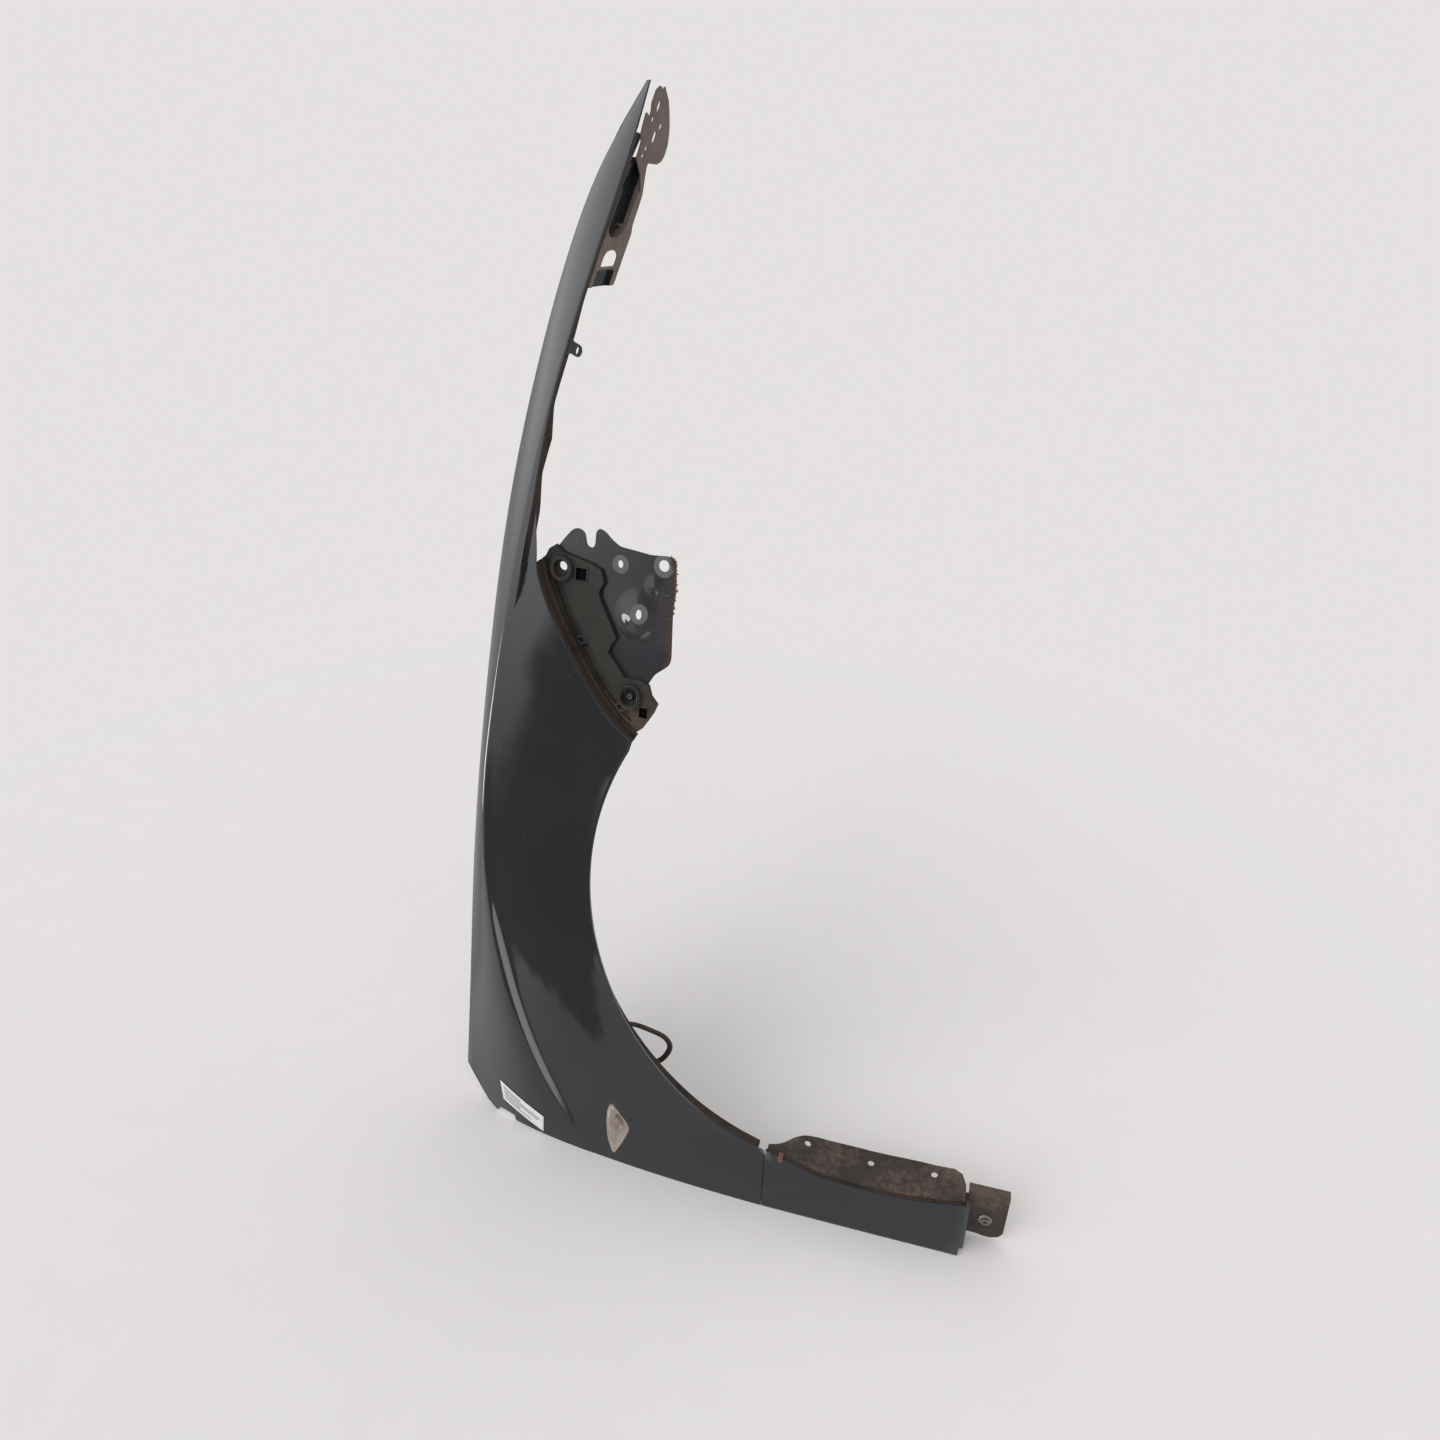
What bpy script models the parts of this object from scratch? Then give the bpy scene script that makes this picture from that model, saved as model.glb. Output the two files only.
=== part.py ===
"""A car's right front fender, with the panels, brackets and lamp that stay on it.

Sizes are in metres. In the side view x runs forward and z up, and y runs inboard.
All three start at the foot of the door edge, and DATUM moves that point so that
the origin lies on the underside of a bonnet-side bolting pad.
"""
import math

import bmesh
import bpy
import numpy as np
from mathutils import Vector
from mathutils.bvhtree import BVHTree

# Sheet and fits
SHEET = 0.0008
BRACKET_SHEET = 0.0012
PLATE_SHEET = 0.0015
GAP = 0.0003
FOLD_RADIUS = 0.0022

# Outer surface: inboard = TAPER x + SWEEP x^2 + TUMBLE z^3
TAPER = 0.10
SWEEP = 0.10
TUMBLE = 0.16
HORN_SWEEP = 0.35
HORN_CROWN = 0.0035
CREASE_HOLLOW = 0.0032
ARCH_FLARE = 0.004

# Bonnet edge, as x with inboard y and height z. Stations ahead of the notch follow HORN.
TIP_X = 1.239
NOTCH_X = 0.714
HORN = TIP_X - NOTCH_X
BONNET_EDGE_Y = ((0.048, 0.078), (0.2, 0.107), (0.4, 0.140), (0.6, 0.178),
                 (NOTCH_X + 0.164 * HORN, 0.225), (NOTCH_X + 0.545 * HORN, 0.292),
                 (NOTCH_X + 0.735 * HORN, 0.334), (TIP_X, 0.397))
BONNET_EDGE_Z = ((0.048, 0.691), (0.242, 0.681), (0.448, 0.666), (0.656, 0.645),
                 (NOTCH_X + 0.240 * HORN, 0.621), (NOTCH_X + 0.520 * HORN, 0.594),
                 (NOTCH_X + 0.709 * HORN, 0.571), (NOTCH_X + 0.857 * HORN, 0.544), (TIP_X, 0.503))
BONNET_END_X = 0.048

# Ridge under the horn, which becomes the crease along the side
RIDGE_Z = ((0.0, 0.487), (0.07, 0.535), (0.15, 0.576), (0.263, 0.612), (0.36, 0.631),
           (0.455, 0.637), (0.605, 0.622), (NOTCH_X, 0.604), (NOTCH_X + 0.164 * HORN, 0.589),
           (NOTCH_X + 0.335 * HORN, 0.573), (NOTCH_X + 0.533 * HORN, 0.551),
           (NOTCH_X + 0.735 * HORN, 0.525), (NOTCH_X + 0.869 * HORN, 0.509), (TIP_X, 0.4995))
NOTCH_DEPTH = 0.010
CREASE_SHARP_X = 0.45
CREASE_REACH = 0.6
CREASE_TAIL_SHARE = 0.15
CREASE_FULL_X = 0.12
CREASE_EASE_X = (0.25, 0.42)
CREASE_FADE_X = (0.30, 0.62)
CREASE_FRONT_SHARE = 0.4
CREASE_STEEP = 10
CREASE_LEVEL = 1.85
FLARE_TAIL_X = (0.04, 0.12)
FLARE_FRONT_X = (0.48, 0.58)
TAIL_BLEND = 0.12
TAIL_CORNER = 0.23

# Front edge of the side panel, from the leaf under the headlamp's tail to the arch
LEAF_TIP = (0.826, 0.568)
LEAF_UPPER = ((NOTCH_X, 0.594), (0.742, 0.581), (0.770, 0.5765), (0.800, 0.572), LEAF_TIP)
LEAF_LOWER = (0.800, 0.5668)
BUMPER_EDGE = ((0.772, 0.565), (0.748, 0.558), (0.715, 0.541), (0.680, 0.518), (0.643, 0.491),
               (0.612, 0.462))
ARCH_CORNER = (0.595, 0.437)
ARCH_CENTRE = (0.417, 0.140)
ARCH_RADIUS = 0.343
ARCH_START = math.radians(61)
ARCH_END = math.radians(161.5)
ARCH_STEPS = 20
CREASE_AT_ARCH_FRONT = 0.56
CREASE_AT_SEAM = 0.04
SEAM_Z = 0.247

# Flanges
LEDGE_DROP = 0.018
LEDGE_WIDTH = 0.026
LEDGE_LEAN = 0.25
LEDGE_END_X = TIP_X - 0.049
PAD_X = (0.12, 0.36, 0.60, 0.84)
PAD_HALF = 0.020
PAD_HOLE_R = 0.0045
PAD_REST = 0.012
HORN_FLANGE = ((NOTCH_X, 0.012), (NOTCH_X + 0.050 * HORN, 0.017), (NOTCH_X + 0.202 * HORN, 0.016),
               (NOTCH_X + 0.278 * HORN, 0.009), (NOTCH_X + 0.345 * HORN, 0.015),
               (NOTCH_X + 0.411 * HORN, 0.007), (NOTCH_X + 0.545 * HORN, 0.009),
               (NOTCH_X + 0.602 * HORN, 0.006), (TIP_X, 0.004))
HORN_FACET = ((NOTCH_X, NOTCH_DEPTH), (NOTCH_X + 0.221 * HORN, 0.008),
              (NOTCH_X + 0.316 * HORN, 0.005), (NOTCH_X + 0.411 * HORN, 0.002), (TIP_X, 0.0015))
HORN_FALL = 0.35
HORN_FLANGE_END_X = TIP_X - 0.044
BUMPER_FLANGE = 0.010
BUMPER_LIP = 0.0045
ARCH_LIP = 0.011
ARCH_LIP_TURN = math.radians(38)
DOOR_HEM = 0.010
SEAM_TAB = 0.014
TAIL_NOTCH = (0.600, 0.633, 0.008)
EAR_X = NOTCH_X + 0.526 * HORN
EAR_REACH = 0.0265
EAR_WIDTH = 0.013
HORN_STEPS = 24

# Lower panel and the pressing behind it
LOWER_FRONT_X = ((0.0, 0.083), (0.04, 0.075), (0.073, 0.071), (0.108, 0.069), (0.144, 0.070),
                 (0.18, 0.073), (0.205, 0.081), (0.225, 0.087), (SEAM_Z, 0.092))
SEAM_GAP = 0.0012
LOWER_HEM = 0.006
END_LIP = 0.008
END_TAB = 0.006
LINER_REACH = ((0.001, 0.040), (0.006, 0.055), (0.016, 0.062), (0.046, 0.065), (0.115, 0.068),
               (0.172, 0.067), (0.200, 0.061), (0.215, 0.050), (0.226, 0.037), (0.237, 0.029),
               (0.244, 0.026))
LINER_LEG = 0.055
LINER_HOLES = (0.039, 0.117, 0.198)
LINER_HOLE_Y = 0.050
LINER_HOLE_R = 0.004
CLIP_Z = 0.226
CLIP_SIZE = (0.007, 0.006)

# Bracket at the sill end
FOOT_PLATE_Y = 0.034
FOOT_SHEET = 0.0025
FOOT_TOP_X = 0.079
FOOT_REACH = 0.052
FOOT_RETURN = 0.012
FOOT_BOLT = (0.034, -0.028)
FOOT_WELD = (0.014, 0.030)
BOLT_HOLE_R = 0.0045

# Front support plate and bumper guide, on planes that slope with x and z
GUIDE_PLANE = (0.69, 0.49, 0.1535, 0.28, 0.12)
GUIDE_SHEET = 0.006
SUPPORT_OUTLINE = ((0.776, 0.556), (0.797, 0.539), (0.804, 0.532), (0.805, 0.524), (0.801, 0.517),
                   (0.789, 0.5145), (0.7863, 0.510), (0.787, 0.506), (0.792, 0.504),
                   (0.804, 0.504), (0.808, 0.500), (0.805, 0.492), (0.798, 0.484),
                   (0.792, 0.474), (0.790, 0.454), (0.788, 0.436), (0.7895, 0.414),
                   (0.787, 0.408), (0.780, 0.4055), (0.756, 0.404), (0.730, 0.406),
                   (0.682, 0.404), (0.675, 0.406), (0.663, 0.422), (0.650, 0.430),
                   (0.630, 0.434), (0.626, 0.452), (0.690, 0.505), (0.742, 0.545))
SUPPORT_HOLES = ((0.774, 0.472, 0.0042, 0.0032), (0.779, 0.420, 0.0062, 0.0062),
                 (0.727, 0.444, 0.0052, 0.0034), (0.764, 0.541, 0.0075, 0.0075))
DOME_CENTRE = (0.724, 0.446)
DOME_RADIUS = 0.029
DOME_HEIGHT = 0.009
GUIDE_OUTLINE = ((0.770, 0.5645), (0.781, 0.559), (0.786, 0.551), (0.780, 0.543),
                 (0.772, 0.507), (0.767, 0.494), (0.754, 0.489), (0.745, 0.494), (0.738, 0.494),
                 (0.723, 0.485), (0.697, 0.470), (0.689, 0.476), (0.680, 0.479), (0.656, 0.457),
                 (0.656, 0.438), (0.651, 0.427), (0.640, 0.423), (0.632, 0.415), (0.622, 0.419),
                 (0.605, 0.430), (0.597, 0.440), (0.609, 0.4600), (0.6415, 0.4910),
                 (0.679, 0.5182), (0.7145, 0.5412), (0.7475, 0.5578))
GUIDE_GROOVE = ((0.762, 0.5555), (0.748, 0.5510), (0.7165, 0.5355), (0.682, 0.5130),
                (0.6455, 0.4865), (0.614, 0.4555), (0.609, 0.4450), (0.621, 0.4480),
                (0.6305, 0.4620), (0.652, 0.4800), (0.688, 0.5060), (0.722, 0.5290),
                (0.750, 0.5410))
GUIDE_GROOVE_DEPTH = 0.0042
UPPER_BOSS = (0.764, 0.541)
LOWER_BOSS = (0.638, 0.448)
BOSS_RADIUS = 0.0135
BOSS_RISE = 0.006
BOSS_BORE = 0.0055
PLUG_BORE = 0.0115
PLUG_RISE = 0.003
SCREW_RADIUS = 0.0018
GUIDE_POCKETS = ((0.759, 0.517, 0.014, 0.013), (0.622, 0.431, 0.011, 0.010))
GUIDE_CLIPS = ((0.689, 0.5125), (0.6235, 0.4590))
GUIDE_CLIP_TURN = math.radians(80)

# Rail under the horn and the bracket at its tip, as distance behind the tip and reach inboard
RAIL_END = (0.196, 0.072)
RAIL_REACH = ((0.196, 0.050), (0.146, 0.051), (0.138, 0.048), (0.109, 0.047), (0.089, 0.040),
              (0.072, 0.034))
RAIL_POCKET = (0.134, 0.067, 0.0225, 0.0125)
RAIL_POCKET_DEPTH = 0.011
RAIL_FOOT = 0.0015
RAIL_SUNK = (0.179, 0.014, 0.042, 0.005)
RAIL_HOLE = ((0.1765, 0.0165), (0.1765, 0.0395), (0.167, 0.0395), (0.162, 0.034), (0.1605, 0.026),
             (0.162, 0.019), (0.167, 0.0165))
TIP_OUTLINE = ((0.106, 0.0395), (0.089, 0.0285), (0.073, 0.0125), (0.058, 0.0125),
               (0.051, 0.008), (0.041, 0.007), (0.03, 0.007), (0.034, 0.0145),
               (0.028, 0.0145), (0.021, 0.012), (0.009, 0.0135), (0.0045, 0.018),
               (0.006, 0.0225), (0.01, 0.0235), (0.0045, 0.0265), (0.018, 0.040),
               (0.034, 0.050), (0.049, 0.060), (0.061, 0.067), (0.07, 0.067), (0.076, 0.062),
               (0.079, 0.052), (0.078, 0.035), (0.089, 0.036), (0.098, 0.040))
TIP_HOLES = ((0.024, 0.025, 0.0055, 0.0022), (0.0365, 0.021, 0.0026, 0.0018),
             (0.043, 0.038, 0.0036, 0.0018), (0.053, 0.032, 0.0062, 0.0024),
             (0.064, 0.024, 0.0024, 0.0018), (0.071, 0.022, 0.0024, 0.0018))
TIP_CURL = 0.005
TIP_CURL_SPAN = (0.045, 0.067)

# Strap behind the arch edge
STRAP_RADIUS = 0.0024
STRAP_PATH = ((0.196, 0.071, 0.431), (0.189, 0.073, 0.410), (0.182, 0.073, 0.394),
              (0.171, 0.073, 0.388), (0.156, 0.073, 0.391), (0.144, 0.071, 0.399))
STRAP_FEET = (((0.2075, 0.4660), (0.2060, 0.4575)), ((0.1350, 0.4280), (0.1335, 0.4365)))
STRAP_RISE = (0.203, 0.060, 0.446)
STRAP_FALL = (0.1375, 0.056, 0.416)

# Side repeater lamp
LAMP_OUTLINE = ((0.095, 0.4545), (0.082, 0.459), (0.060, 0.4605), (0.036, 0.459), (0.014, 0.452),
                (0.0135, 0.4485), (0.030, 0.440), (0.050, 0.4315), (0.063, 0.4275),
                (0.072, 0.431), (0.084, 0.441), (0.094, 0.450))
LAMP_CENTRE = (0.057, 0.446)
LAMP_RISE = 0.0055
LENS_WALL = 0.0015
HOUSING_DEPTH = 0.020
BULB_RADIUS = 0.0042

# Paper label near the door edge
LABEL_CORNERS = ((0.0585, 0.626), (0.0275, 0.622), (0.0045, 0.556), (0.0315, 0.5545))
LABEL_SHEET = 0.0003
LABEL_LIFT = 0.0006

PAINT = (0.055, 0.062, 0.070)
DIRT = (0.105, 0.085, 0.072)


def natural_spline(knots):
    """A smooth function through (x, value) knots, straight beyond the two ends."""
    xs, ys = np.array(sorted(knots), float).T
    spans = np.diff(xs)
    slopes = np.diff(ys) / spans
    matrix = np.eye(len(xs))
    turn = np.zeros(len(xs))
    for i in range(1, len(xs) - 1):
        matrix[i, i - 1:i + 2] = spans[i - 1], 2 * (spans[i - 1] + spans[i]), spans[i]
        turn[i] = 6 * (slopes[i] - slopes[i - 1])
    bend = np.linalg.solve(matrix, turn)

    def value(x):
        i = int(np.clip(np.searchsorted(xs, x) - 1, 0, len(spans) - 1))
        a = xs[i + 1] - x
        b = x - xs[i]
        h = spans[i]
        cubic = (bend[i] * a ** 3 + bend[i + 1] * b ** 3) / (6 * h)
        linear = (ys[i] / h - bend[i] * h / 6) * a + (ys[i + 1] / h - bend[i + 1] * h / 6) * b
        return float(cubic + linear)

    return value


def ease(x, start, end):
    """0 at start, 1 at end, level at both."""
    share = min(1.0, max(0.0, (x - start) / (end - start)))
    return share * share * (3 - 2 * share)


def table(knots):
    """Straight runs between (x, value) knots."""
    xs, ys = np.array(sorted(knots), float).T
    return lambda x: float(np.interp(x, xs, ys))


bonnet_y = natural_spline(BONNET_EDGE_Y)
bonnet_z = natural_spline(BONNET_EDGE_Z)
ridge_z = natural_spline(RIDGE_Z)
horn_flange_width = table(HORN_FLANGE)
horn_facet = table(HORN_FACET)
lower_front_x = natural_spline(LOWER_FRONT_X)
liner_reach = natural_spline(LINER_REACH)
HORN_INWARD = Vector((0, 1, -HORN_FALL)).normalized()
HORN_BEHIND = Vector((0, HORN_FALL, 1)).normalized()


def side_y(x, z):
    """How far inboard the side of the car lies at a place in the side view."""
    return TAPER * x + SWEEP * x * x + TUMBLE * abs(z) ** 3


def horn_inset(x):
    return HORN_SWEEP * max(0.0, x - NOTCH_X) ** 2


def ridge_point(x):
    z = ridge_z(x)
    return Vector((x, side_y(x, z) + horn_inset(x), z))


def horn_edge(x):
    """Lower edge of the horn, where its flange turns inboard."""
    z = ridge_z(x) - horn_facet(x)
    return Vector((x, side_y(x, z) + horn_inset(x), z))


def bonnet_point(x):
    return Vector((x, bonnet_y(x), bonnet_z(x)))


def ledge_z(x):
    """Height of the bonnet-side ledge, level at each bolting pad."""
    knots = []
    for pad in PAD_X:
        level = bonnet_z(pad) - LEDGE_DROP
        knots += [(pad - PAD_HALF, level), (pad + PAD_HALF, level)]
    first, last = PAD_X[0] - 2 * PAD_HALF, PAD_X[-1] + 2 * PAD_HALF
    ahead = (last + (LEDGE_END_X - last) / 3, last + (LEDGE_END_X - last) * 2 / 3, LEDGE_END_X)
    ends = [(x, bonnet_z(x) - LEDGE_DROP) for x in (0.0, first, last, *ahead)]
    return table(knots + ends)(x)


def ledge_y(x):
    return bonnet_y(x) + LEDGE_LEAN * (bonnet_z(x) - ledge_z(x))


DATUM = Vector((PAD_X[1] + PAD_REST, ledge_y(PAD_X[1]) + LEDGE_WIDTH / 2,
                ledge_z(PAD_X[1]) - SHEET))


def material(name, colour, roughness, metallic=0.0, alpha=1.0):
    found = bpy.data.materials.get(name)
    if found:
        return found
    made = bpy.data.materials.new(name)
    made.use_nodes = True
    shader = made.node_tree.nodes["Principled BSDF"]
    shader.inputs["Base Color"].default_value = (*colour, 1)
    shader.inputs["Roughness"].default_value = roughness
    shader.inputs["Metallic"].default_value = metallic
    shader.inputs["Alpha"].default_value = alpha
    return made


def clear_scene():
    for obj in list(bpy.data.objects):
        bpy.data.objects.remove(obj, do_unlink=True)


def add_object(name, mesh, finish=None, root=None):
    obj = bpy.data.objects.new(name, mesh)
    bpy.context.scene.collection.objects.link(obj)
    if finish:
        mesh.materials.clear()
        mesh.materials.append(finish)
    if root:
        obj.parent = root
    mesh.shade_smooth()
    mesh.set_sharp_from_angle(angle=math.radians(32))
    return obj


def mesh_from_bmesh(name, bm):
    mesh = bpy.data.meshes.new(name)
    bm.to_mesh(mesh)
    bm.free()
    return mesh


def evaluated_mesh(obj):
    """The object's mesh with its modifiers taken up, and the object removed."""
    graph = bpy.context.evaluated_depsgraph_get()
    graph.update()
    mesh = bpy.data.meshes.new_from_object(obj.evaluated_get(graph))
    bpy.data.objects.remove(obj, do_unlink=True)
    return mesh


def cutter(name, mesh, root=None):
    obj = bpy.data.objects.new(name, mesh)
    bpy.context.scene.collection.objects.link(obj)
    obj.parent = root
    obj.hide_render = True
    obj.display_type = "WIRE"
    return obj


def combine(obj, other, operation):
    modifier = obj.modifiers.new(other.name, "BOOLEAN")
    modifier.operation = operation
    modifier.object = other
    modifier.solver = "EXACT"


def solidify(obj, thickness):
    modifier = obj.modifiers.new("sheet", "SOLIDIFY")
    modifier.thickness = thickness
    modifier.offset = -1
    modifier.use_quality_normals = True


def prism_bmesh(outline, low, high):
    """A closed prism of a side-view outline, from inboard depth low to high."""
    bm = bmesh.new()
    points = np.array(outline, float)
    ahead = np.roll(points, -1, axis=0)
    area = (points[:, 0] * ahead[:, 1] - points[:, 1] * ahead[:, 0]).sum()
    if area < 0:
        points = points[::-1]
    front = [bm.verts.new((x, low, z)) for x, z in points]
    back = [bm.verts.new((x, high, z)) for x, z in points]
    bm.faces.new(front)
    bm.faces.new(back[::-1])
    count = len(points)
    for i in range(count):
        j = (i + 1) % count
        bm.faces.new((front[j], front[i], back[i], back[j]))
    return bm


def oval(x, z, half_x, half_z, turn=0.0, steps=14):
    points = []
    for i in range(steps):
        angle = 2 * math.pi * i / steps
        u, v = half_x * math.cos(angle), half_z * math.sin(angle)
        points.append((x + u * math.cos(turn) - v * math.sin(turn),
                       z + u * math.sin(turn) + v * math.cos(turn)))
    return points


def box_outline(x, z, width, height):
    return [(x - width / 2, z - height / 2), (x + width / 2, z - height / 2),
            (x + width / 2, z + height / 2), (x - width / 2, z + height / 2)]


class Sheet:
    """Rows of points that are joined into one open sheet, facing outboard."""

    def __init__(self):
        self.bm = bmesh.new()

    def row(self, points):
        return [point and self.bm.verts.new(point) for point in points]

    def join(self, first, second):
        for i in range(len(first) - 1):
            corners = (first[i], first[i + 1], second[i + 1], second[i])
            if all(corners):
                self.bm.faces.new(corners)

    def mesh(self, name, outward=Vector((0, -1, 0))):
        bm = self.bm
        bmesh.ops.recalc_face_normals(bm, faces=bm.faces)
        bm.normal_update()
        lean = sum(face.normal.dot(outward) * face.calc_area() for face in bm.faces)
        if lean < 0:
            bmesh.ops.reverse_faces(bm, faces=bm.faces)
        return mesh_from_bmesh(name, bm)


def along(points, share):
    """The point at a share of a polyline's length."""
    points = np.array(points, float)
    lengths = np.hypot(*np.diff(points, axis=0).T)
    reach = np.concatenate([[0], np.cumsum(lengths)])
    at = share * reach[-1]
    return [float(np.interp(at, reach, points[:, i])) for i in range(points.shape[1])]


def lower_boundary():
    """(x, z, kind) stations along the side panel's free edge, front to rear."""
    stations = [(*LEAF_TIP, "leaf"), (*LEAF_LOWER, "leaf")]
    stations += [(x, z, "bumper") for x, z in BUMPER_EDGE]
    stations.append((*ARCH_CORNER, "corner"))
    angles = list(np.linspace(ARCH_START, ARCH_END, ARCH_STEPS + 1))
    angles.insert(-1, ARCH_END - math.radians(1.1))
    for angle in angles:
        stations.append((ARCH_CENTRE[0] + ARCH_RADIUS * math.cos(angle),
                         ARCH_CENTRE[1] + ARCH_RADIUS * math.sin(angle), "arch"))
    last_x = stations[-1][0]
    stations[-1] = (last_x, SEAM_Z, "seam")
    stations.append((last_x / 2, SEAM_Z, "seam"))
    stations.append((0.0, SEAM_Z, "seam"))
    return stations


def crease_stations(stations):
    """x along the crease that faces each station of the lower boundary."""
    front = [i for i, s in enumerate(stations) if s[2] == "corner"][0]
    seam = [i for i, s in enumerate(stations) if s[2] == "seam"][0]
    last = len(stations) - 1
    knots = ((0, NOTCH_X), (front, CREASE_AT_ARCH_FRONT), (seam, CREASE_AT_SEAM), (last, 0.0))
    return [table(knots)(i) for i in range(len(stations))]


def bonnet_station(x):
    """x on the bonnet edge that faces x on the ridge: they part near the tail."""
    near = max(0.0, 1 - x / CREASE_SHARP_X)
    return x + BONNET_END_X * near ** 2


SHOULDER_ROWS = (TAIL_CORNER, 0.42, 0.61, 0.80)
SIDE_ROWS = (0.10, 0.18, 0.28, 0.42, 0.57, 0.72, 0.86)


def shoulder_point(x, share):
    """A point of the shoulder or horn, from the bonnet edge (0) to the ridge (1)."""
    upper, lower = bonnet_point(bonnet_station(x)), ridge_point(x)
    px = upper.x + (lower.x - upper.x) * share
    pz = upper.z + (lower.z - upper.z) * share
    near_tail = max(0.0, 1 - x / TAIL_BLEND) ** 2
    straight = BONNET_END_X * (1 - share)
    edge = BONNET_END_X * max(0.0, 1 - share / TAIL_CORNER)
    px += (edge - straight) * near_tail
    rise = upper.y - side_y(upper.x, upper.z)
    power = 1 + 2 * max(0.0, 1 - x / CREASE_SHARP_X)
    crown = HORN_CROWN * min(1.0, x / CREASE_SHARP_X) * min(1.0, (TIP_X - x) / 0.1)
    y = side_y(px, pz) + rise * (1 - share) ** power + horn_inset(x) * share
    y -= crown * 4 * share * (1 - share)
    return Vector((px, y, pz))


def crease_profile(share):
    """Depth of the hollow below the crease, 1 at its deepest: steep, then it runs out."""
    t = min(1.0, share / CREASE_REACH)
    return CREASE_LEVEL * (1 - math.exp(-CREASE_STEEP * t)) * (1 - t) ** 2


def side_point(column, share, stations, creases):
    """A point of the side panel, from the crease (0) to its free edge (1)."""
    x0 = creases[column]
    x1, z1, _ = stations[column]
    z0 = ridge_z(x0)
    first = NOTCH_DEPTH / math.dist((x0, z0), (x1, z1))
    if share is None:
        share = first
    px = x0 + (x1 - x0) * share
    pz = z0 + (z1 - z0) * share
    fade = max(0.0, 1 - column / 5) ** 2
    if fade and share < 1:
        chord = math.dist((creases[0], ridge_z(creases[0])), stations[0][:2])
        start = NOTCH_DEPTH / chord
        if share > start:
            ex, ez = along(LEAF_UPPER, (share - start) / (1 - start))
        else:
            ex, ez = NOTCH_X, ridge_z(NOTCH_X) - NOTCH_DEPTH * share / start
        sx = creases[0] + (stations[0][0] - creases[0]) * share
        sz = ridge_z(creases[0]) + (stations[0][1] - ridge_z(creases[0])) * share
        px += (ex - sx) * fade
        pz += (ez - sz) * fade
    grown = CREASE_TAIL_SHARE + (1 - CREASE_TAIL_SHARE) * ease(x0, 0.0, CREASE_FULL_X)
    front = CREASE_FRONT_SHARE * (1 - ease(x0, *CREASE_FADE_X))
    rear = (1 - CREASE_FRONT_SHARE) * (1 - ease(x0, *CREASE_EASE_X))
    deep = grown * (front + rear)
    hollow = CREASE_HOLLOW * deep * crease_profile(share)
    flared = ease(x0, *FLARE_TAIL_X) * (1 - ease(x0, *FLARE_FRONT_X))
    flare = ARCH_FLARE * flared * share ** 6
    return Vector((px, side_y(px, pz) + hollow - flare, pz))


def folded(inside, corner, away):
    """Three points that round the fold from a surface to a flange."""
    back = (inside - corner).normalized()
    before = corner + back * FOLD_RADIUS
    middle = corner + (back + away) * FOLD_RADIUS * 0.293
    return before, middle, corner + away * FOLD_RADIUS


def bonnet_flange(x, inside):
    """Points from the ledge's inner edge up the wall to the shoulder, or None past its end."""
    edge = bonnet_point(x)
    if x > LEDGE_END_X:
        return [None] * 5 + [None, edge, edge + (inside - edge).normalized() * FOLD_RADIUS]
    level, foot = ledge_z(x), ledge_y(x)
    down = Vector((0, foot - edge.y, level - edge.z)).normalized()
    before, middle, after = folded(inside, edge, down)
    corner = Vector((x, foot, level))
    inner = Vector((x, foot + LEDGE_WIDTH, level))
    half = Vector((x, foot + LEDGE_WIDTH * 0.5, level))
    turn_in, turn, turn_up = folded(inner, corner, -down)
    return [inner, half, turn_in, turn, turn_up, after, middle, before]


def arch_lip_direction(station):
    """Into the wheel house, and away from the opening over the front of the arch."""
    x, z, _ = station
    radial = Vector((x - ARCH_CENTRE[0], 0, z - ARCH_CENTRE[1])).normalized()
    angle = math.atan2(z - ARCH_CENTRE[1], x - ARCH_CENTRE[0])
    turn = ARCH_LIP_TURN * float(np.interp(angle, [math.radians(115), math.radians(150)], [1, 0]))
    return Vector((0, math.cos(turn), 0)) + radial * math.sin(turn)


def free_edge_flange(column, edge, inside, stations):
    """Points of the flange that turns in from the side panel's free edge."""
    kind = stations[column][2]
    before = edge + (inside - edge).normalized() * FOLD_RADIUS
    if kind in ("bumper", "corner"):
        last = column + (kind == "bumper")
        ahead = Vector((stations[last][0] - stations[column - 1][0], 0,
                        stations[last][1] - stations[column - 1][1])).normalized()
        opening = Vector((-ahead.z, 0, ahead.x))
        inward = Vector((0, 1, 0))
        before, middle, after = folded(inside, edge, inward)
        foot = edge + inward * BUMPER_FLANGE
        return before, [middle, after, foot, foot + opening * BUMPER_LIP]
    if kind == "arch" and stations[column - 1][2] != "corner":
        away = arch_lip_direction(stations[column])
        before, middle, after = folded(inside, edge, away)
        half = edge + away * ARCH_LIP * 0.5
        return before, [middle, after, half, edge + away * ARCH_LIP]
    return before, [edge, None, None, None]


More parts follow.
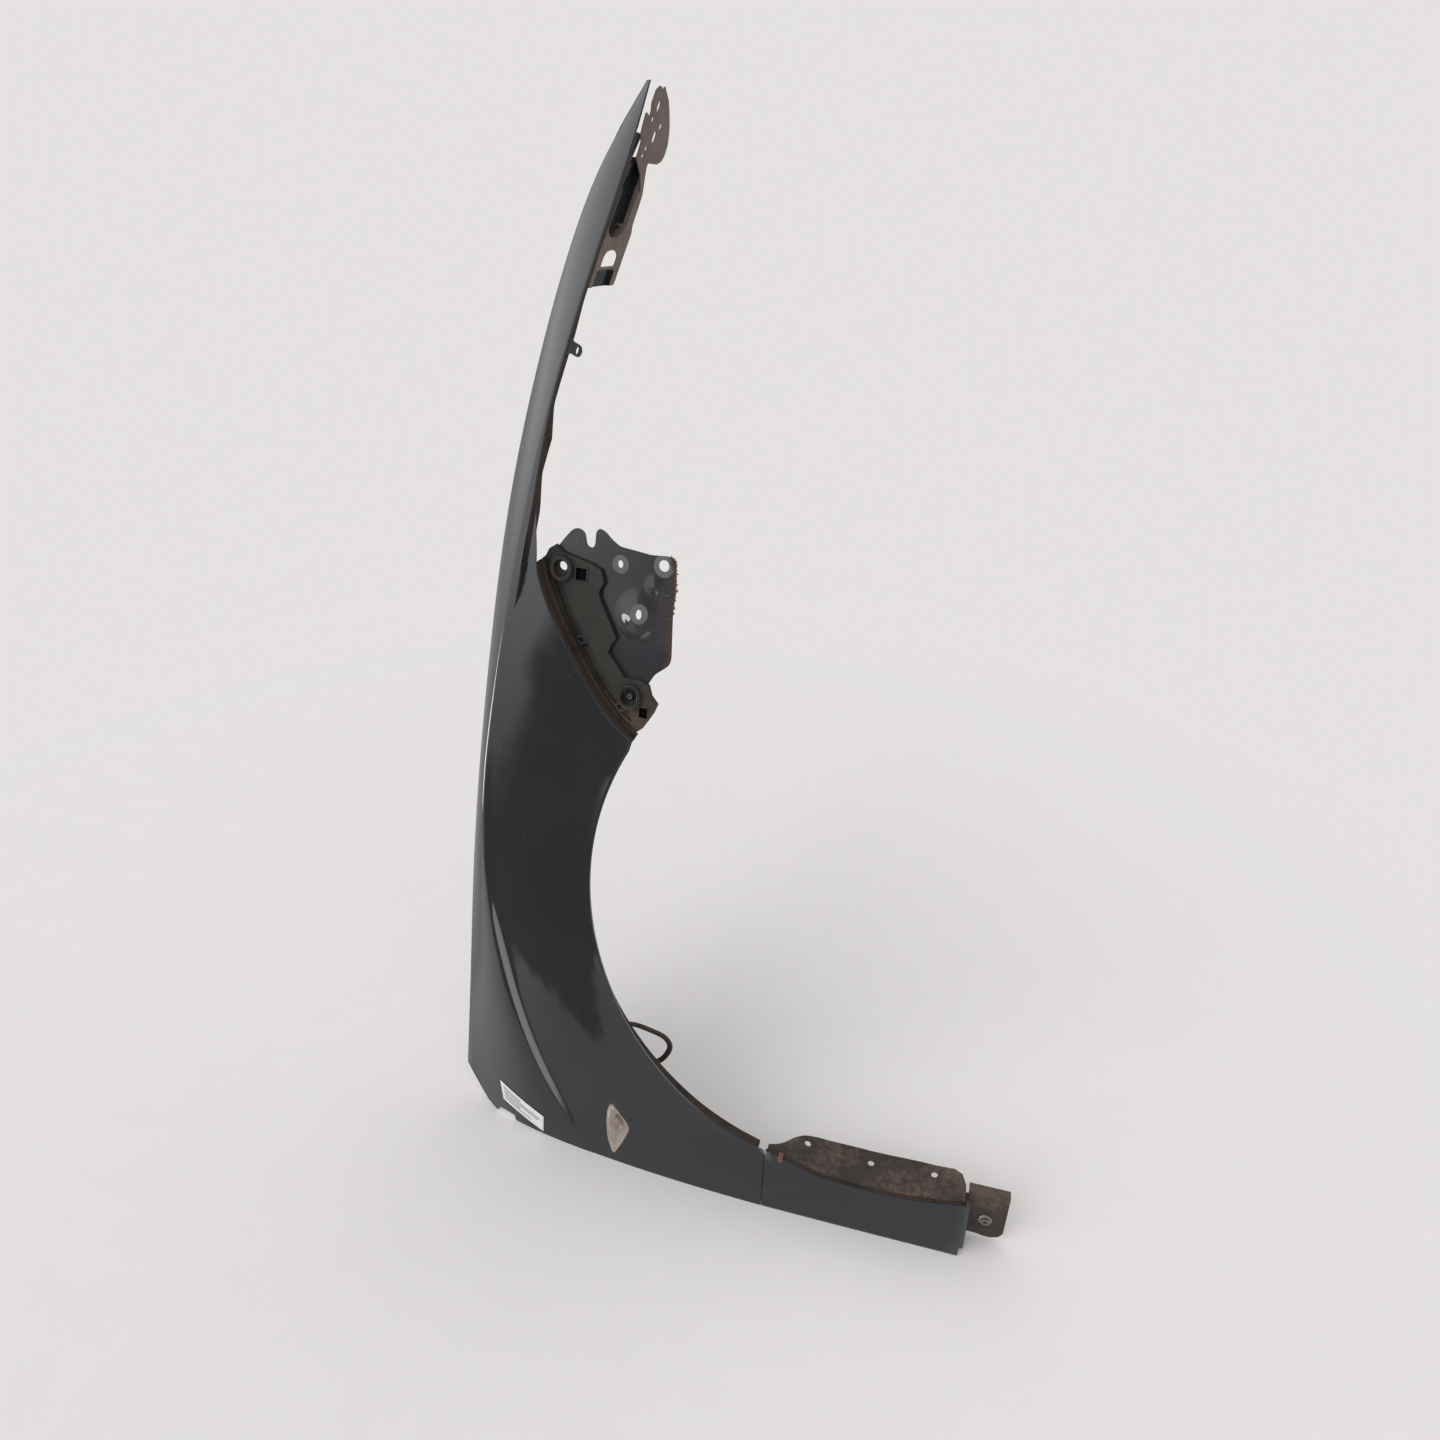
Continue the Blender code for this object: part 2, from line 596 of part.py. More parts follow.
def skin_sheet():
    """The pressed outer skin, before it gets its thickness."""
    stations = lower_boundary()
    creases = crease_stations(stations)
    horn = list(np.linspace(TIP_X, NOTCH_X, HORN_STEPS + 1)[:-1])
    columns = horn + creases
    sheet = Sheet()
    # Rows above the ridge
    grid = []
    for x in columns:
        inner = [shoulder_point(x, share) for share in SHOULDER_ROWS]
        upper = bonnet_flange(bonnet_station(x), inner[0])
        grid.append(upper + inner + [ridge_point(x)])
    rows = [sheet.row(points) for points in zip(*grid)]
    for first, second in zip(rows, rows[1:]):
        sheet.join(first, second)
    ridge = rows[-1]
    # The facet below the ridge runs on as the side panel's first row
    notch = len(horn)
    facet_points = [horn_edge(x) for x in horn]
    facet_points += [side_point(i, None, stations, creases) for i in range(len(creases))]
    facet = sheet.row(facet_points)
    sheet.join(ridge, facet)
    # Flange under the horn, up to the notch
    flange_rows = [[], []]
    for x, edge in zip(columns[:notch + 1], facet_points):
        width = horn_flange_width(x)
        gone = x > HORN_FLANGE_END_X
        flange_rows[0].append(None if gone else edge + HORN_INWARD * min(FOLD_RADIUS, width / 2))
        flange_rows[1].append(None if gone else edge + HORN_INWARD * width)
    first = sheet.row(flange_rows[0])
    second = sheet.row(flange_rows[1])
    sheet.join(facet[:notch + 1], first)
    sheet.join(first, second)
    # Side panel and the flanges of its free edge
    side = []
    for column in range(len(stations)):
        edge = side_point(column, 1.0, stations, creases)
        inner = [side_point(column, share, stations, creases) for share in SIDE_ROWS]
        before, flange = free_edge_flange(column, edge, inner[-1], stations)
        side.append(inner + [before] + flange)
    side_rows = [sheet.row(points) for points in zip(*side)]
    sheet.join(facet[notch:], side_rows[0])
    for first, second in zip(side_rows, side_rows[1:]):
        sheet.join(first, second)
    # Tab behind the seam
    seam = [i for i, s in enumerate(stations) if s[2] == "seam"]
    width = stations[seam[0]][0]
    edge_row = side_rows[len(SIDE_ROWS) + 1]
    step_in = SHEET + GAP
    shares = (0.90, 0.5, 0.10)
    tab_rows = []
    for drop, inset in ((SEAM_GAP - GAP, step_in), (SEAM_TAB, step_in)):
        points = []
        for share, i in zip(shares, seam):
            z = SEAM_Z - drop
            points.append(Vector((width * share, side_y(width * share, SEAM_Z) + inset, z)))
        tab_rows.append(sheet.row(points))
    sheet.join([edge_row[i] for i in seam], tab_rows[0])
    sheet.join(tab_rows[0], tab_rows[1])
    # Hem along the door edge
    tail = [row[-1] for row in rows[len(rows) - len(SHOULDER_ROWS) - 1:]]
    tail += [facet[-1]] + [row[-1] for row in side_rows[:len(SIDE_ROWS) + 1]]
    tail.append(edge_row[-1])
    turned = sheet.row([v.co + Vector((0.0007, FOLD_RADIUS, 0)) for v in tail])
    ends = [v.co + Vector((0.0015, DOOR_HEM, 0)) for v in tail]
    ends[-1] += Vector((0, 0, 0.004))
    ends[0] += Vector((0, 0, -0.004))
    sheet.join(tail, turned)
    sheet.join(turned, sheet.row(ends))
    return sheet


def surface_tree(mesh):
    bm = bmesh.new()
    bm.from_mesh(mesh)
    tree = BVHTree.FromBMesh(bm)
    bm.free()
    return tree


def outer_y(tree, x, z):
    """Inboard depth of the outer skin at a place in the side view."""
    hit = tree.ray_cast(Vector((x, -1, z)), Vector((0, 1, 0)))[0]
    return hit.y if hit else side_y(x, z)


def cut_cylinder(name, x, y, z, radius, root):
    """A short upright cutter through the ledge."""
    bm = bmesh.new()
    bmesh.ops.create_cone(bm, cap_ends=True, segments=16, radius1=radius, radius2=radius, depth=0.012)
    bmesh.ops.translate(bm, verts=bm.verts, vec=(x, y, z))
    return cutter(name, mesh_from_bmesh(name, bm), root)


def ear_tab(root):
    """Round-ended ear on the horn's flange, and the hole through it."""
    centre = horn_edge(EAR_X)
    ahead = (horn_edge(EAR_X + 0.01) - horn_edge(EAR_X - 0.01)).normalized()
    across = (HORN_INWARD - ahead * HORN_INWARD.dot(ahead)).normalized()
    normal = ahead.cross(across).normalized()
    middle = centre + normal * (SHEET / 2) * (1 if normal.z > 0 else -1)

    def build(outline, thick, name):
        bm = prism_bmesh(outline, -thick / 2, thick / 2)
        for v in bm.verts:
            along_edge, depth, reach = v.co
            v.co = middle + ahead * along_edge + normal * depth + across * reach
        bmesh.ops.recalc_face_normals(bm, faces=bm.faces)
        return cutter(name, mesh_from_bmesh(name, bm), root)

    half = EAR_WIDTH / 2
    outline = [(-half - 0.003, 0.003), (half + 0.003, 0.003), (half, 0.010)]
    for i in range(7):
        angle = math.pi * i / 6
        outline.append((half * math.cos(angle), EAR_REACH - half + half * math.sin(angle)))
    outline.append((-half, 0.010))
    tab = build(outline, 2 * SHEET, "ear_shape")
    hole = build(oval(0, EAR_REACH - half - 0.001, 0.0042, 0.0026), 8 * SHEET, "ear_hole")
    return tab, hole


def make_skin(root):
    mesh = skin_sheet().mesh("fender_skin")
    tree = surface_tree(mesh)
    paint = material("graphite_paint", PAINT, 0.22, 0.35)
    skin = add_object("fender_skin", mesh, paint, root)
    solidify(skin, SHEET)
    tab, hole = ear_tab(root)
    combine(skin, tab, "UNION")
    combine(skin, hole, "DIFFERENCE")
    for i, x in enumerate(PAD_X):
        y = ledge_y(x) + LEDGE_WIDTH / 2
        hole = cut_cylinder(f"pad_hole_{i + 1}", x, y, ledge_z(x), PAD_HOLE_R, root)
        combine(skin, hole, "DIFFERENCE")
    low, high, deep = TAIL_NOTCH
    outline = [(-0.01, low), (deep, low + 0.004), (deep, high - 0.002), (-0.01, high + 0.004)]
    notch = cutter("tail_notch", mesh_from_bmesh("tail_notch", prism_bmesh(outline, -0.02, 0.08)), root)
    combine(skin, notch, "DIFFERENCE")
    opening = scaled_outline(LAMP_OUTLINE, LAMP_CENTRE, 1.0, 2 * GAP)
    lamp = cutter("lamp_hole", mesh_from_bmesh("lamp_hole", prism_bmesh(opening, -0.02, 0.06)), root)
    combine(skin, lamp, "DIFFERENCE")
    return tree


def make_lower_panel(root):
    """Painted panel below the seam, hemmed along both edges, with a lip at its end."""
    sheet = Sheet()
    levels = np.linspace(SEAM_Z - SEAM_GAP, 0.0, 15)
    shares = (0.0, 0.03, 0.25, 0.5, 0.75, 0.97, 1.0)
    grid = []
    for n, z in enumerate(levels):
        front = lower_front_x(z)
        trim = {0: -0.003, len(levels) - 1: 0.003}.get(n, 0.0)
        panel = [Vector((front * (1 - share), side_y(front * (1 - share), SEAM_Z * 0.5 + z * 0.5), z))
                 for share in shares]
        first, last = panel[0], panel[-1]
        hem = [first + Vector((-0.0012, LOWER_HEM, trim)), first + Vector((-0.0004, FOLD_RADIUS, 0))]
        door = [last + Vector((0.0004, FOLD_RADIUS, 0)), last + Vector((0.0012, DOOR_HEM, trim))]
        grid.append(hem + panel + door)
    rows = [sheet.row(points) for points in grid]
    for first, second in zip(rows, rows[1:]):
        sheet.join(first, second)
    end = rows[-1][3:-3]
    turned = sheet.row([v.co + Vector((0, FOLD_RADIUS, -0.0004)) for v in end])
    foot = sheet.row([v.co + Vector((0, END_LIP, -0.0008)) for v in end])
    tab = sheet.row([v.co + Vector((0, END_LIP + 0.0012, -END_TAB)) for v in end])
    sheet.join(end, turned)
    sheet.join(turned, foot)
    sheet.join(foot, tab)
    obj = add_object("lower_panel", sheet.mesh("lower_panel"),
                     material("graphite_paint", PAINT, 0.22, 0.35), root)
    solidify(obj, SHEET)


def lower_y(x, z):
    """Inboard depth of the lower panel's outer face."""
    return side_y(x, SEAM_Z * 0.5 + z * 0.5)


def make_liner_panel(root):
    """Inner pressing: a flange into the wheel house, and a leg behind the lower panel."""
    sheet = Sheet()
    levels = [z for z, _ in LINER_REACH]
    joggle = ((levels[0], 0), (0.226, 0), (0.231, SHEET + GAP), (levels[-1], SHEET + GAP))
    fine = np.unique(np.concatenate([levels, [0.231], np.linspace(levels[0], levels[-1], 14)]))
    grid = []
    for z in fine:
        behind = SHEET + GAP + table(joggle)(z)
        front = lower_front_x(z) - SHEET - GAP - 0.0016
        root_y = lower_y(front, z) + behind
        reach = liner_reach(z)
        inner_x = front - LINER_LEG
        leg = [Vector((x, lower_y(x, z) + behind, z))
               for x in (inner_x, front - LINER_LEG / 2, front - FOLD_RADIUS)]
        rest = [Vector((front - 0.0006, root_y + 0.0006, z)),
                Vector((front, root_y + FOLD_RADIUS, z)),
                Vector((front, (root_y + reach) / 2, z)), Vector((front, reach, z))]
        grid.append(leg + rest)
    rows = [sheet.row(points) for points in grid]
    for first, second in zip(rows, rows[1:]):
        sheet.join(first, second)
    mesh = sheet.mesh("liner_panel", Vector((1, -0.4, 0)))
    obj = add_object("liner_panel", mesh, material("dirty_steel", DIRT, 0.85), root)
    solidify(obj, BRACKET_SHEET)
    for i, z in enumerate(LINER_HOLES):
        bm = bmesh.new()
        bmesh.ops.create_cone(bm, cap_ends=True, segments=16, radius1=LINER_HOLE_R,
                              radius2=LINER_HOLE_R, depth=0.02)
        for v in bm.verts:
            v.co = Vector((v.co.z + lower_front_x(z), v.co.x + LINER_HOLE_Y, v.co.y + z))
        bmesh.ops.recalc_face_normals(bm, faces=bm.faces)
        name = f"liner_hole_{i + 1}"
        combine(obj, cutter(name, mesh_from_bmesh(name, bm), root), "DIFFERENCE")


def make_liner_clip(root):
    """Small spring clip over the lower panel's edge."""
    length, width = CLIP_SIZE
    edge = lower_front_x(CLIP_Z)
    thick = SHEET
    near, far = edge - length, edge + 2 * thick + GAP
    front, back = (lower_y(x, CLIP_Z) - 2 * GAP for x in (near, far))
    profile = [(near, front - thick), (far, back - thick), (far, back + LOWER_HEM),
               (far - thick, back + LOWER_HEM), (far - thick, back), (near, front)]
    bm = prism_bmesh(profile, -width / 2, width / 2)
    for v in bm.verts:
        v.co = Vector((v.co.x, v.co.z, v.co.y + CLIP_Z))
    bmesh.ops.recalc_face_normals(bm, faces=bm.faces)
    add_object("liner_clip", mesh_from_bmesh("liner_clip", bm),
               material("rusty_steel", (0.20, 0.11, 0.06), 0.9), root)


def box_bmesh(low, high):
    bm = bmesh.new()
    made = bmesh.ops.create_cube(bm, size=1)["verts"]
    for v in made:
        v.co = Vector([low[i] + (v.co[i] + 0.5) * (high[i] - low[i]) for i in range(3)])
    return bm


def make_sill_foot(root):
    """Stepped bracket past the lower panel's end, bolted to the sill."""
    z0, z1 = FOOT_WELD
    weld_x = (0.012, 0.058)
    weld_y = lower_y(weld_x[1], z1) + SHEET + GAP + BRACKET_SHEET + GAP
    top = FOOT_TOP_X
    plate = [(0.006, 0.018), (0.004, -0.020), (0.002, -0.030), (0.002, -0.038), (0.006, -0.047),
             (0.014, -FOOT_REACH), (top, -FOOT_REACH), (top, -0.003), (0.072, -0.003),
             (0.070, 0.018)]
    bm = prism_bmesh(plate, FOOT_PLATE_Y, FOOT_PLATE_Y + FOOT_SHEET)
    body = add_object("sill_foot", mesh_from_bmesh("sill_foot", bm))
    back = FOOT_PLATE_Y + FOOT_RETURN
    pieces = (((top - FOOT_SHEET, FOOT_PLATE_Y + 0.0005, -FOOT_REACH), (top, back, -0.003)),
              ((weld_x[0], weld_y, z0), (weld_x[1], FOOT_PLATE_Y + 0.002, z0 + FOOT_SHEET)),
              ((weld_x[0], weld_y, z0 + 0.0005), (weld_x[1], weld_y + FOOT_SHEET, z1)))
    for i, (low, high) in enumerate(pieces):
        other = cutter(f"foot_piece_{i}", mesh_from_bmesh("foot_piece", box_bmesh(low, high)))
        combine(body, other, "UNION")
    x, z = FOOT_BOLT
    hole = prism_bmesh(oval(x, z, BOLT_HOLE_R, BOLT_HOLE_R), FOOT_PLATE_Y - 0.01, back)
    combine(body, cutter("foot_hole", mesh_from_bmesh("foot_hole", hole)), "DIFFERENCE")
    mesh = evaluated_mesh(body)
    for obj in [o for o in bpy.data.objects if o.name.startswith("foot_")]:
        bpy.data.objects.remove(obj, do_unlink=True)
    add_object("sill_foot", mesh, material("dirty_steel", DIRT, 0.85), root)


def turned_bmesh(profile, centre, steps=20):
    """A solid turned about an axis along y: profile holds (radius, y) from end to end."""
    bm = bmesh.new()
    loops = []
    for radius, y in profile:
        if radius == 0:
            loops.append([bm.verts.new((centre[0], y, centre[1]))])
            continue
        loops.append([bm.verts.new((centre[0] + radius * math.cos(2 * math.pi * i / steps), y,
                                    centre[1] + radius * math.sin(2 * math.pi * i / steps)))
                      for i in range(steps)])
    for first, second in zip(loops, loops[1:]):
        for i in range(steps):
            j = (i + 1) % steps
            corners = [first[i % len(first)], first[j % len(first)],
                       second[j % len(second)], second[i % len(second)]]
            unique = list(dict.fromkeys(corners))
            if len(unique) > 2:
                bm.faces.new(unique)
    bmesh.ops.recalc_face_normals(bm, faces=bm.faces)
    return bm


def make_foot_bolt(root):
    """Flanged bolt with a washer face, through the sill foot."""
    face = FOOT_PLATE_Y - GAP
    shank = BOLT_HOLE_R - GAP * 2
    profile = [(0, face - 0.0022), (0.0028, face - 0.0022), (0.0032, face - 0.0048),
               (0.0052, face - 0.0048), (0.0056, face - 0.0042), (0.0056, face - 0.0016),
               (0.0085, face - 0.0012), (0.0088, face), (shank, face),
               (shank, face + 0.016), (shank * 0.8, face + 0.018), (0, face + 0.018)]
    bm = turned_bmesh(profile, FOOT_BOLT, 18)
    add_object("foot_bolt", mesh_from_bmesh("foot_bolt", bm),
               material("worn_zinc", (0.42, 0.38, 0.32), 0.45, 0.7), root)


def guide_y(x, z):
    """Depth of the bumper guide's outer face."""
    x0, z0, depth, by_x, by_z = GUIDE_PLANE
    return depth + by_x * (x - x0) + by_z * (z - z0)


def plate_grid(outline, thickness, step):
    """A flat closed slab of small cells round an outline, thickness along y."""
    points = np.array(outline)
    low, high = points.min(axis=0) - step / 2, points.max(axis=0) + step / 2
    counts = np.maximum(2, np.ceil((high - low) / step).astype(int))
    xs, zs = (np.linspace(low[i], high[i], counts[i] + 1) for i in (0, 1))
    bm = bmesh.new()
    layers = [[[bm.verts.new((x, y, z)) for z in zs] for x in xs] for y in (0.0, thickness)]
    for grid, flip in zip(layers, (False, True)):
        for i in range(len(xs) - 1):
            for j in range(len(zs) - 1):
                corners = [grid[i][j], grid[i + 1][j], grid[i + 1][j + 1], grid[i][j + 1]]
                bm.faces.new(corners[::-1] if flip else corners)
    ring = [(i, 0) for i in range(len(xs) - 1)] + [(len(xs) - 1, j) for j in range(len(zs) - 1)]
    ring += [(i, len(zs) - 1) for i in range(len(xs) - 1, 0, -1)]
    ring += [(0, j) for j in range(len(zs) - 1, 0, -1)]
    for a, b in zip(ring, ring[1:] + ring[:1]):
        bm.faces.new((layers[0][b[0]][b[1]], layers[0][a[0]][a[1]],
                      layers[1][a[0]][a[1]], layers[1][b[0]][b[1]]))
    return bm


def stamped(name, outline, holes, thickness, step, place, finish, root, turned_over=False):
    """A sheet cut to an outline with holes, then set to its place point by point."""
    body = add_object(name, mesh_from_bmesh(name, plate_grid(outline, thickness, step)))
    keep = cutter(name + "_outline", mesh_from_bmesh(name, prism_bmesh(outline, -0.01, 0.02)))
    combine(body, keep, "INTERSECT")
    helpers = [keep]
    for i, hole in enumerate(holes):
        mesh = mesh_from_bmesh(name, prism_bmesh(hole, -0.02, 0.03))
        other = cutter(f"{name}_hole_{i}", mesh)
        combine(body, other, "DIFFERENCE")
        helpers.append(other)
    mesh = evaluated_mesh(body)
    for helper in helpers:
        bpy.data.objects.remove(helper, do_unlink=True)
    for vertex in mesh.vertices:
        vertex.co = place(*vertex.co)
    if turned_over:
        mesh.flip_normals()
    return add_object(name, mesh, finish, root)


def make_support_plate(root):
    """Stamped plate that carries the guide, domed round its middle hole."""
    holes = [oval(*hole) for hole in SUPPORT_HOLES]
    holes.append(oval(*LOWER_BOSS, SCREW_RADIUS + GAP, SCREW_RADIUS + GAP))

    def place(x, y, z):
        distance = math.dist((x, z), DOME_CENTRE) / DOME_RADIUS
        dome = DOME_HEIGHT * (0.5 + 0.5 * math.cos(math.pi * min(1.0, distance)))
        return Vector((x, guide_y(x, z) + GUIDE_SHEET + GAP + y - dome, z))

    stamped("support_plate", SUPPORT_OUTLINE, holes, PLATE_SHEET, 0.0085, place,
            material("primed_steel", (0.060, 0.058, 0.066), 0.35, 0.3), root)


def guide_rib():
    """Rib along the guide's border, which stands up to the lip of the bumper edge."""
    border = [Vector((x, 0, z)) for x, z in BUMPER_EDGE[:-1]]
    toward = [Vector((-(b - a).z, 0, (b - a).x)).normalized() for a, b in zip(border, border[1:])]
    toward.append(toward[-1])
    near = [p + t * 0.0005 for p, t in zip(border, toward)]
    far = [p + t * (BUMPER_LIP - 0.0012) for p, t in zip(border, toward)]
    outline = [(p.x, p.z) for p in near + far[::-1]]

    def top(x, z):
        return side_y(x, z) + BUMPER_FLANGE + SHEET + 3 * GAP - guide_y(x, z)

    return lofted([(outline, top), (outline, lambda x, z: GUIDE_SHEET - 0.0004)])


def make_guide(root):
    """Plastic bumper guide with two bosses, pockets and clip slots."""
    bm = prism_bmesh(GUIDE_OUTLINE, 0.0, GUIDE_SHEET)
    body = add_object("bumper_guide", mesh_from_bmesh("bumper_guide", bm))
    shapes = []

    def use(bm, operation):
        other = cutter(f"guide_shape_{len(shapes)}", mesh_from_bmesh("guide_shape", bm))
        shapes.append(other)
        combine(body, other, operation)

    use(prism_bmesh(GUIDE_GROOVE, -0.01, GUIDE_GROOVE_DEPTH), "DIFFERENCE")
    use(guide_rib(), "UNION")
    for centre in (UPPER_BOSS, LOWER_BOSS):
        ring = oval(*centre, BOSS_RADIUS, BOSS_RADIUS, 0, 24)
        use(prism_bmesh(ring, -BOSS_RISE, GUIDE_SHEET - 0.0005), "UNION")
    use(prism_bmesh(oval(*UPPER_BOSS, 0.0095, 0.0095, 0, 20), -0.02, 0.001), "DIFFERENCE")
    use(prism_bmesh(oval(*UPPER_BOSS, BOSS_BORE, BOSS_BORE), -0.02, 0.02), "DIFFERENCE")
    use(prism_bmesh(oval(*LOWER_BOSS, PLUG_BORE, PLUG_BORE, 0, 20), -0.02, 0.002), "DIFFERENCE")
    through = SCREW_RADIUS + GAP
    use(prism_bmesh(oval(*LOWER_BOSS, through, through), -0.02, 0.02), "DIFFERENCE")
    for x, z, width, height in GUIDE_POCKETS:
        outer = box_outline(x, z, width + 0.004, height + 0.004)
        use(prism_bmesh(outer, -0.001, GUIDE_SHEET - 0.0006), "UNION")
        use(prism_bmesh(box_outline(x, z, width, height), -0.02, GUIDE_SHEET * 0.6), "DIFFERENCE")
    for x, z in GUIDE_CLIPS:
        clip = oval(x, z, 0.0085, 0.0065, GUIDE_CLIP_TURN, 4)
        use(prism_bmesh(clip, -0.001, GUIDE_SHEET - 0.0007), "UNION")
        slot = oval(x, z, 0.0052, 0.0038, GUIDE_CLIP_TURN, 4)
        use(prism_bmesh(slot, -0.02, GUIDE_SHEET * 0.6), "DIFFERENCE")
    mesh = evaluated_mesh(body)
    for obj in shapes:
        bpy.data.objects.remove(obj, do_unlink=True)
    for vertex in mesh.vertices:
        vertex.co.y += guide_y(vertex.co.x, vertex.co.z)
    add_object("bumper_guide", mesh, material("grey_plastic", (0.085, 0.078, 0.070), 0.7), root)


def make_plug_and_screw(root):
    """Black plug in the lower boss, with the screw that holds guide and plate together."""
    radius = PLUG_BORE - GAP
    seat = 0.002 - GAP
    bore = 0.0042
    profile = [(bore, seat), (bore, 0.000), (0.0062, -0.001), (0.0090, -0.0045),
               (radius - 0.0008, -BOSS_RISE - PLUG_RISE * 0.3), (radius, -BOSS_RISE), (radius, seat),
               (bore, seat)]
    plug = turned_bmesh(profile, LOWER_BOSS, 24)
    bmesh.ops.remove_doubles(plug, verts=plug.verts, dist=0.00005)
    bmesh.ops.recalc_face_normals(plug, faces=plug.faces)
    neck = SCREW_RADIUS
    head = [(0, -0.0022), (0.0012, -0.0022), (0.0014, -0.0034), (0.0034, -0.0030),
            (0.0036, seat - 0.0005), (neck, seat - 0.0005), (neck, 0.0130), (0, 0.0145)]
    screw = turned_bmesh(head, LOWER_BOSS, 14)
    for bm in (plug, screw):
        for v in bm.verts:
            v.co.y += guide_y(v.co.x, v.co.z)
    add_object("guide_plug", mesh_from_bmesh("guide_plug", plug),
               material("black_plastic", (0.012, 0.013, 0.014), 0.45), root)
    add_object("guide_screw", mesh_from_bmesh("guide_screw", screw),
               material("worn_zinc", (0.42, 0.38, 0.32), 0.45, 0.7), root)


def behind_tip(points):
    """Points given as distance behind the tip, turned into places along x."""
    return [(TIP_X - back, *rest) for back, *rest in points]


def under_horn(x, reach, depth):
    """A point on the surface that falls inboard from the horn's lower edge."""
    return horn_edge(x) + HORN_INWARD * reach + HORN_BEHIND * depth


def make_horn_rail(root):
    """Flange rail inside the horn, with a long pocket, a hole and a sunk end."""
    ends = [(back, RAIL_FOOT) for back in RAIL_END]
    outline = behind_tip([ends[0], *RAIL_REACH, ends[1]])
    far, near, middle, half = RAIL_POCKET
    sunk_x, sunk_low, sunk_high, sunk_depth = RAIL_SUNK

    def place(x, y, z):
        along_pocket = min(max(x, TIP_X - far), TIP_X - near)
        distance = math.dist((x, z), (along_pocket, middle))
        pocket = min(1.0, max(0.0, (half + 0.003 - distance) / 0.005))
        end = min(1.0, max(0.0, (TIP_X - sunk_x - x) / 0.002)) * (sunk_low < z < sunk_high)
        sink = RAIL_POCKET_DEPTH * pocket + sunk_depth * end
        return under_horn(x, z, SHEET + GAP + y + sink)

    stamped("horn_rail", outline, [behind_tip(RAIL_HOLE)], BRACKET_SHEET, 0.0045, place,
            material("dirty_steel", DIRT, 0.85), root, True)


def make_tip_bracket(root):
    """Headlamp bracket at the horn's tip, full of small holes, under the rail's end."""
    holes = [oval(*hole, 0, 10) for hole in behind_tip(TIP_HOLES)]
    start, end = TIP_CURL_SPAN

    def place(x, y, z):
        curl = TIP_CURL * max(0.0, (z - start) / (end - start)) ** 2
        return under_horn(x, z, y - PLATE_SHEET - GAP + SHEET + curl)

    stamped("tip_bracket", behind_tip(TIP_OUTLINE), holes, PLATE_SHEET, 0.0075, place,
            material("dirty_steel", DIRT, 0.85), root, True)


def make_strap(root, tree):
    """Bent wire strap that stands in the wheel house behind the arch lip."""
    clear = SHEET + 2 * GAP + STRAP_RADIUS
    front, rear = [[(x, outer_y(tree, x, z) + clear, z) for x, z in foot] for foot in STRAP_FEET]
    knots = np.array([*front, STRAP_RISE, *STRAP_PATH, STRAP_FALL, *rear])
    spans = np.linalg.norm(np.diff(knots, axis=0), axis=1)
    reach = np.concatenate([[0], np.cumsum(spans)])
    curves = [natural_spline(list(zip(reach, knots[:, i]))) for i in range(3)]
    curve = bpy.data.curves.new("arch_strap", "CURVE")
    curve.dimensions = "3D"
    curve.bevel_depth = STRAP_RADIUS
    curve.bevel_resolution = 2
    curve.use_fill_caps = True
    count = 30
    path = curve.splines.new("POLY")
    path.points.add(count - 1)
    for i in range(count):
        at = reach[-1] * i / (count - 1)
        path.points[i].co = (*[value(at) for value in curves], 1)
    obj = bpy.data.objects.new("arch_strap", curve)
    bpy.context.scene.collection.objects.link(obj)
    curve.materials.append(material("dirty_steel", DIRT, 0.85))
    obj.parent = root


def scaled_outline(outline, centre, scale, grow=0.0):
    """The outline scaled about a centre, and moved outward by grow."""
    made = []
    for x, z in outline:
        dx, dz = x - centre[0], z - centre[1]
        length = math.hypot(dx, dz)
        factor = scale + grow / length
        made.append((centre[0] + dx * factor, centre[1] + dz * factor))
    return made


def lofted(loops):
    """A solid of stacked loops: each is (outline, depth function), ends capped."""
    bm = bmesh.new()
    rings = [[bm.verts.new((x, depth(x, z), z)) for x, z in outline] for outline, depth in loops]
    count = len(rings[0])
    bm.faces.new(rings[0])
    bm.faces.new(rings[-1])
    for first, second in zip(rings, rings[1:]):
        for i in range(count):
            j = (i + 1) % count
            bm.faces.new((first[i], first[j], second[j], second[i]))
    bmesh.ops.recalc_face_normals(bm, faces=bm.faces)
    return bm


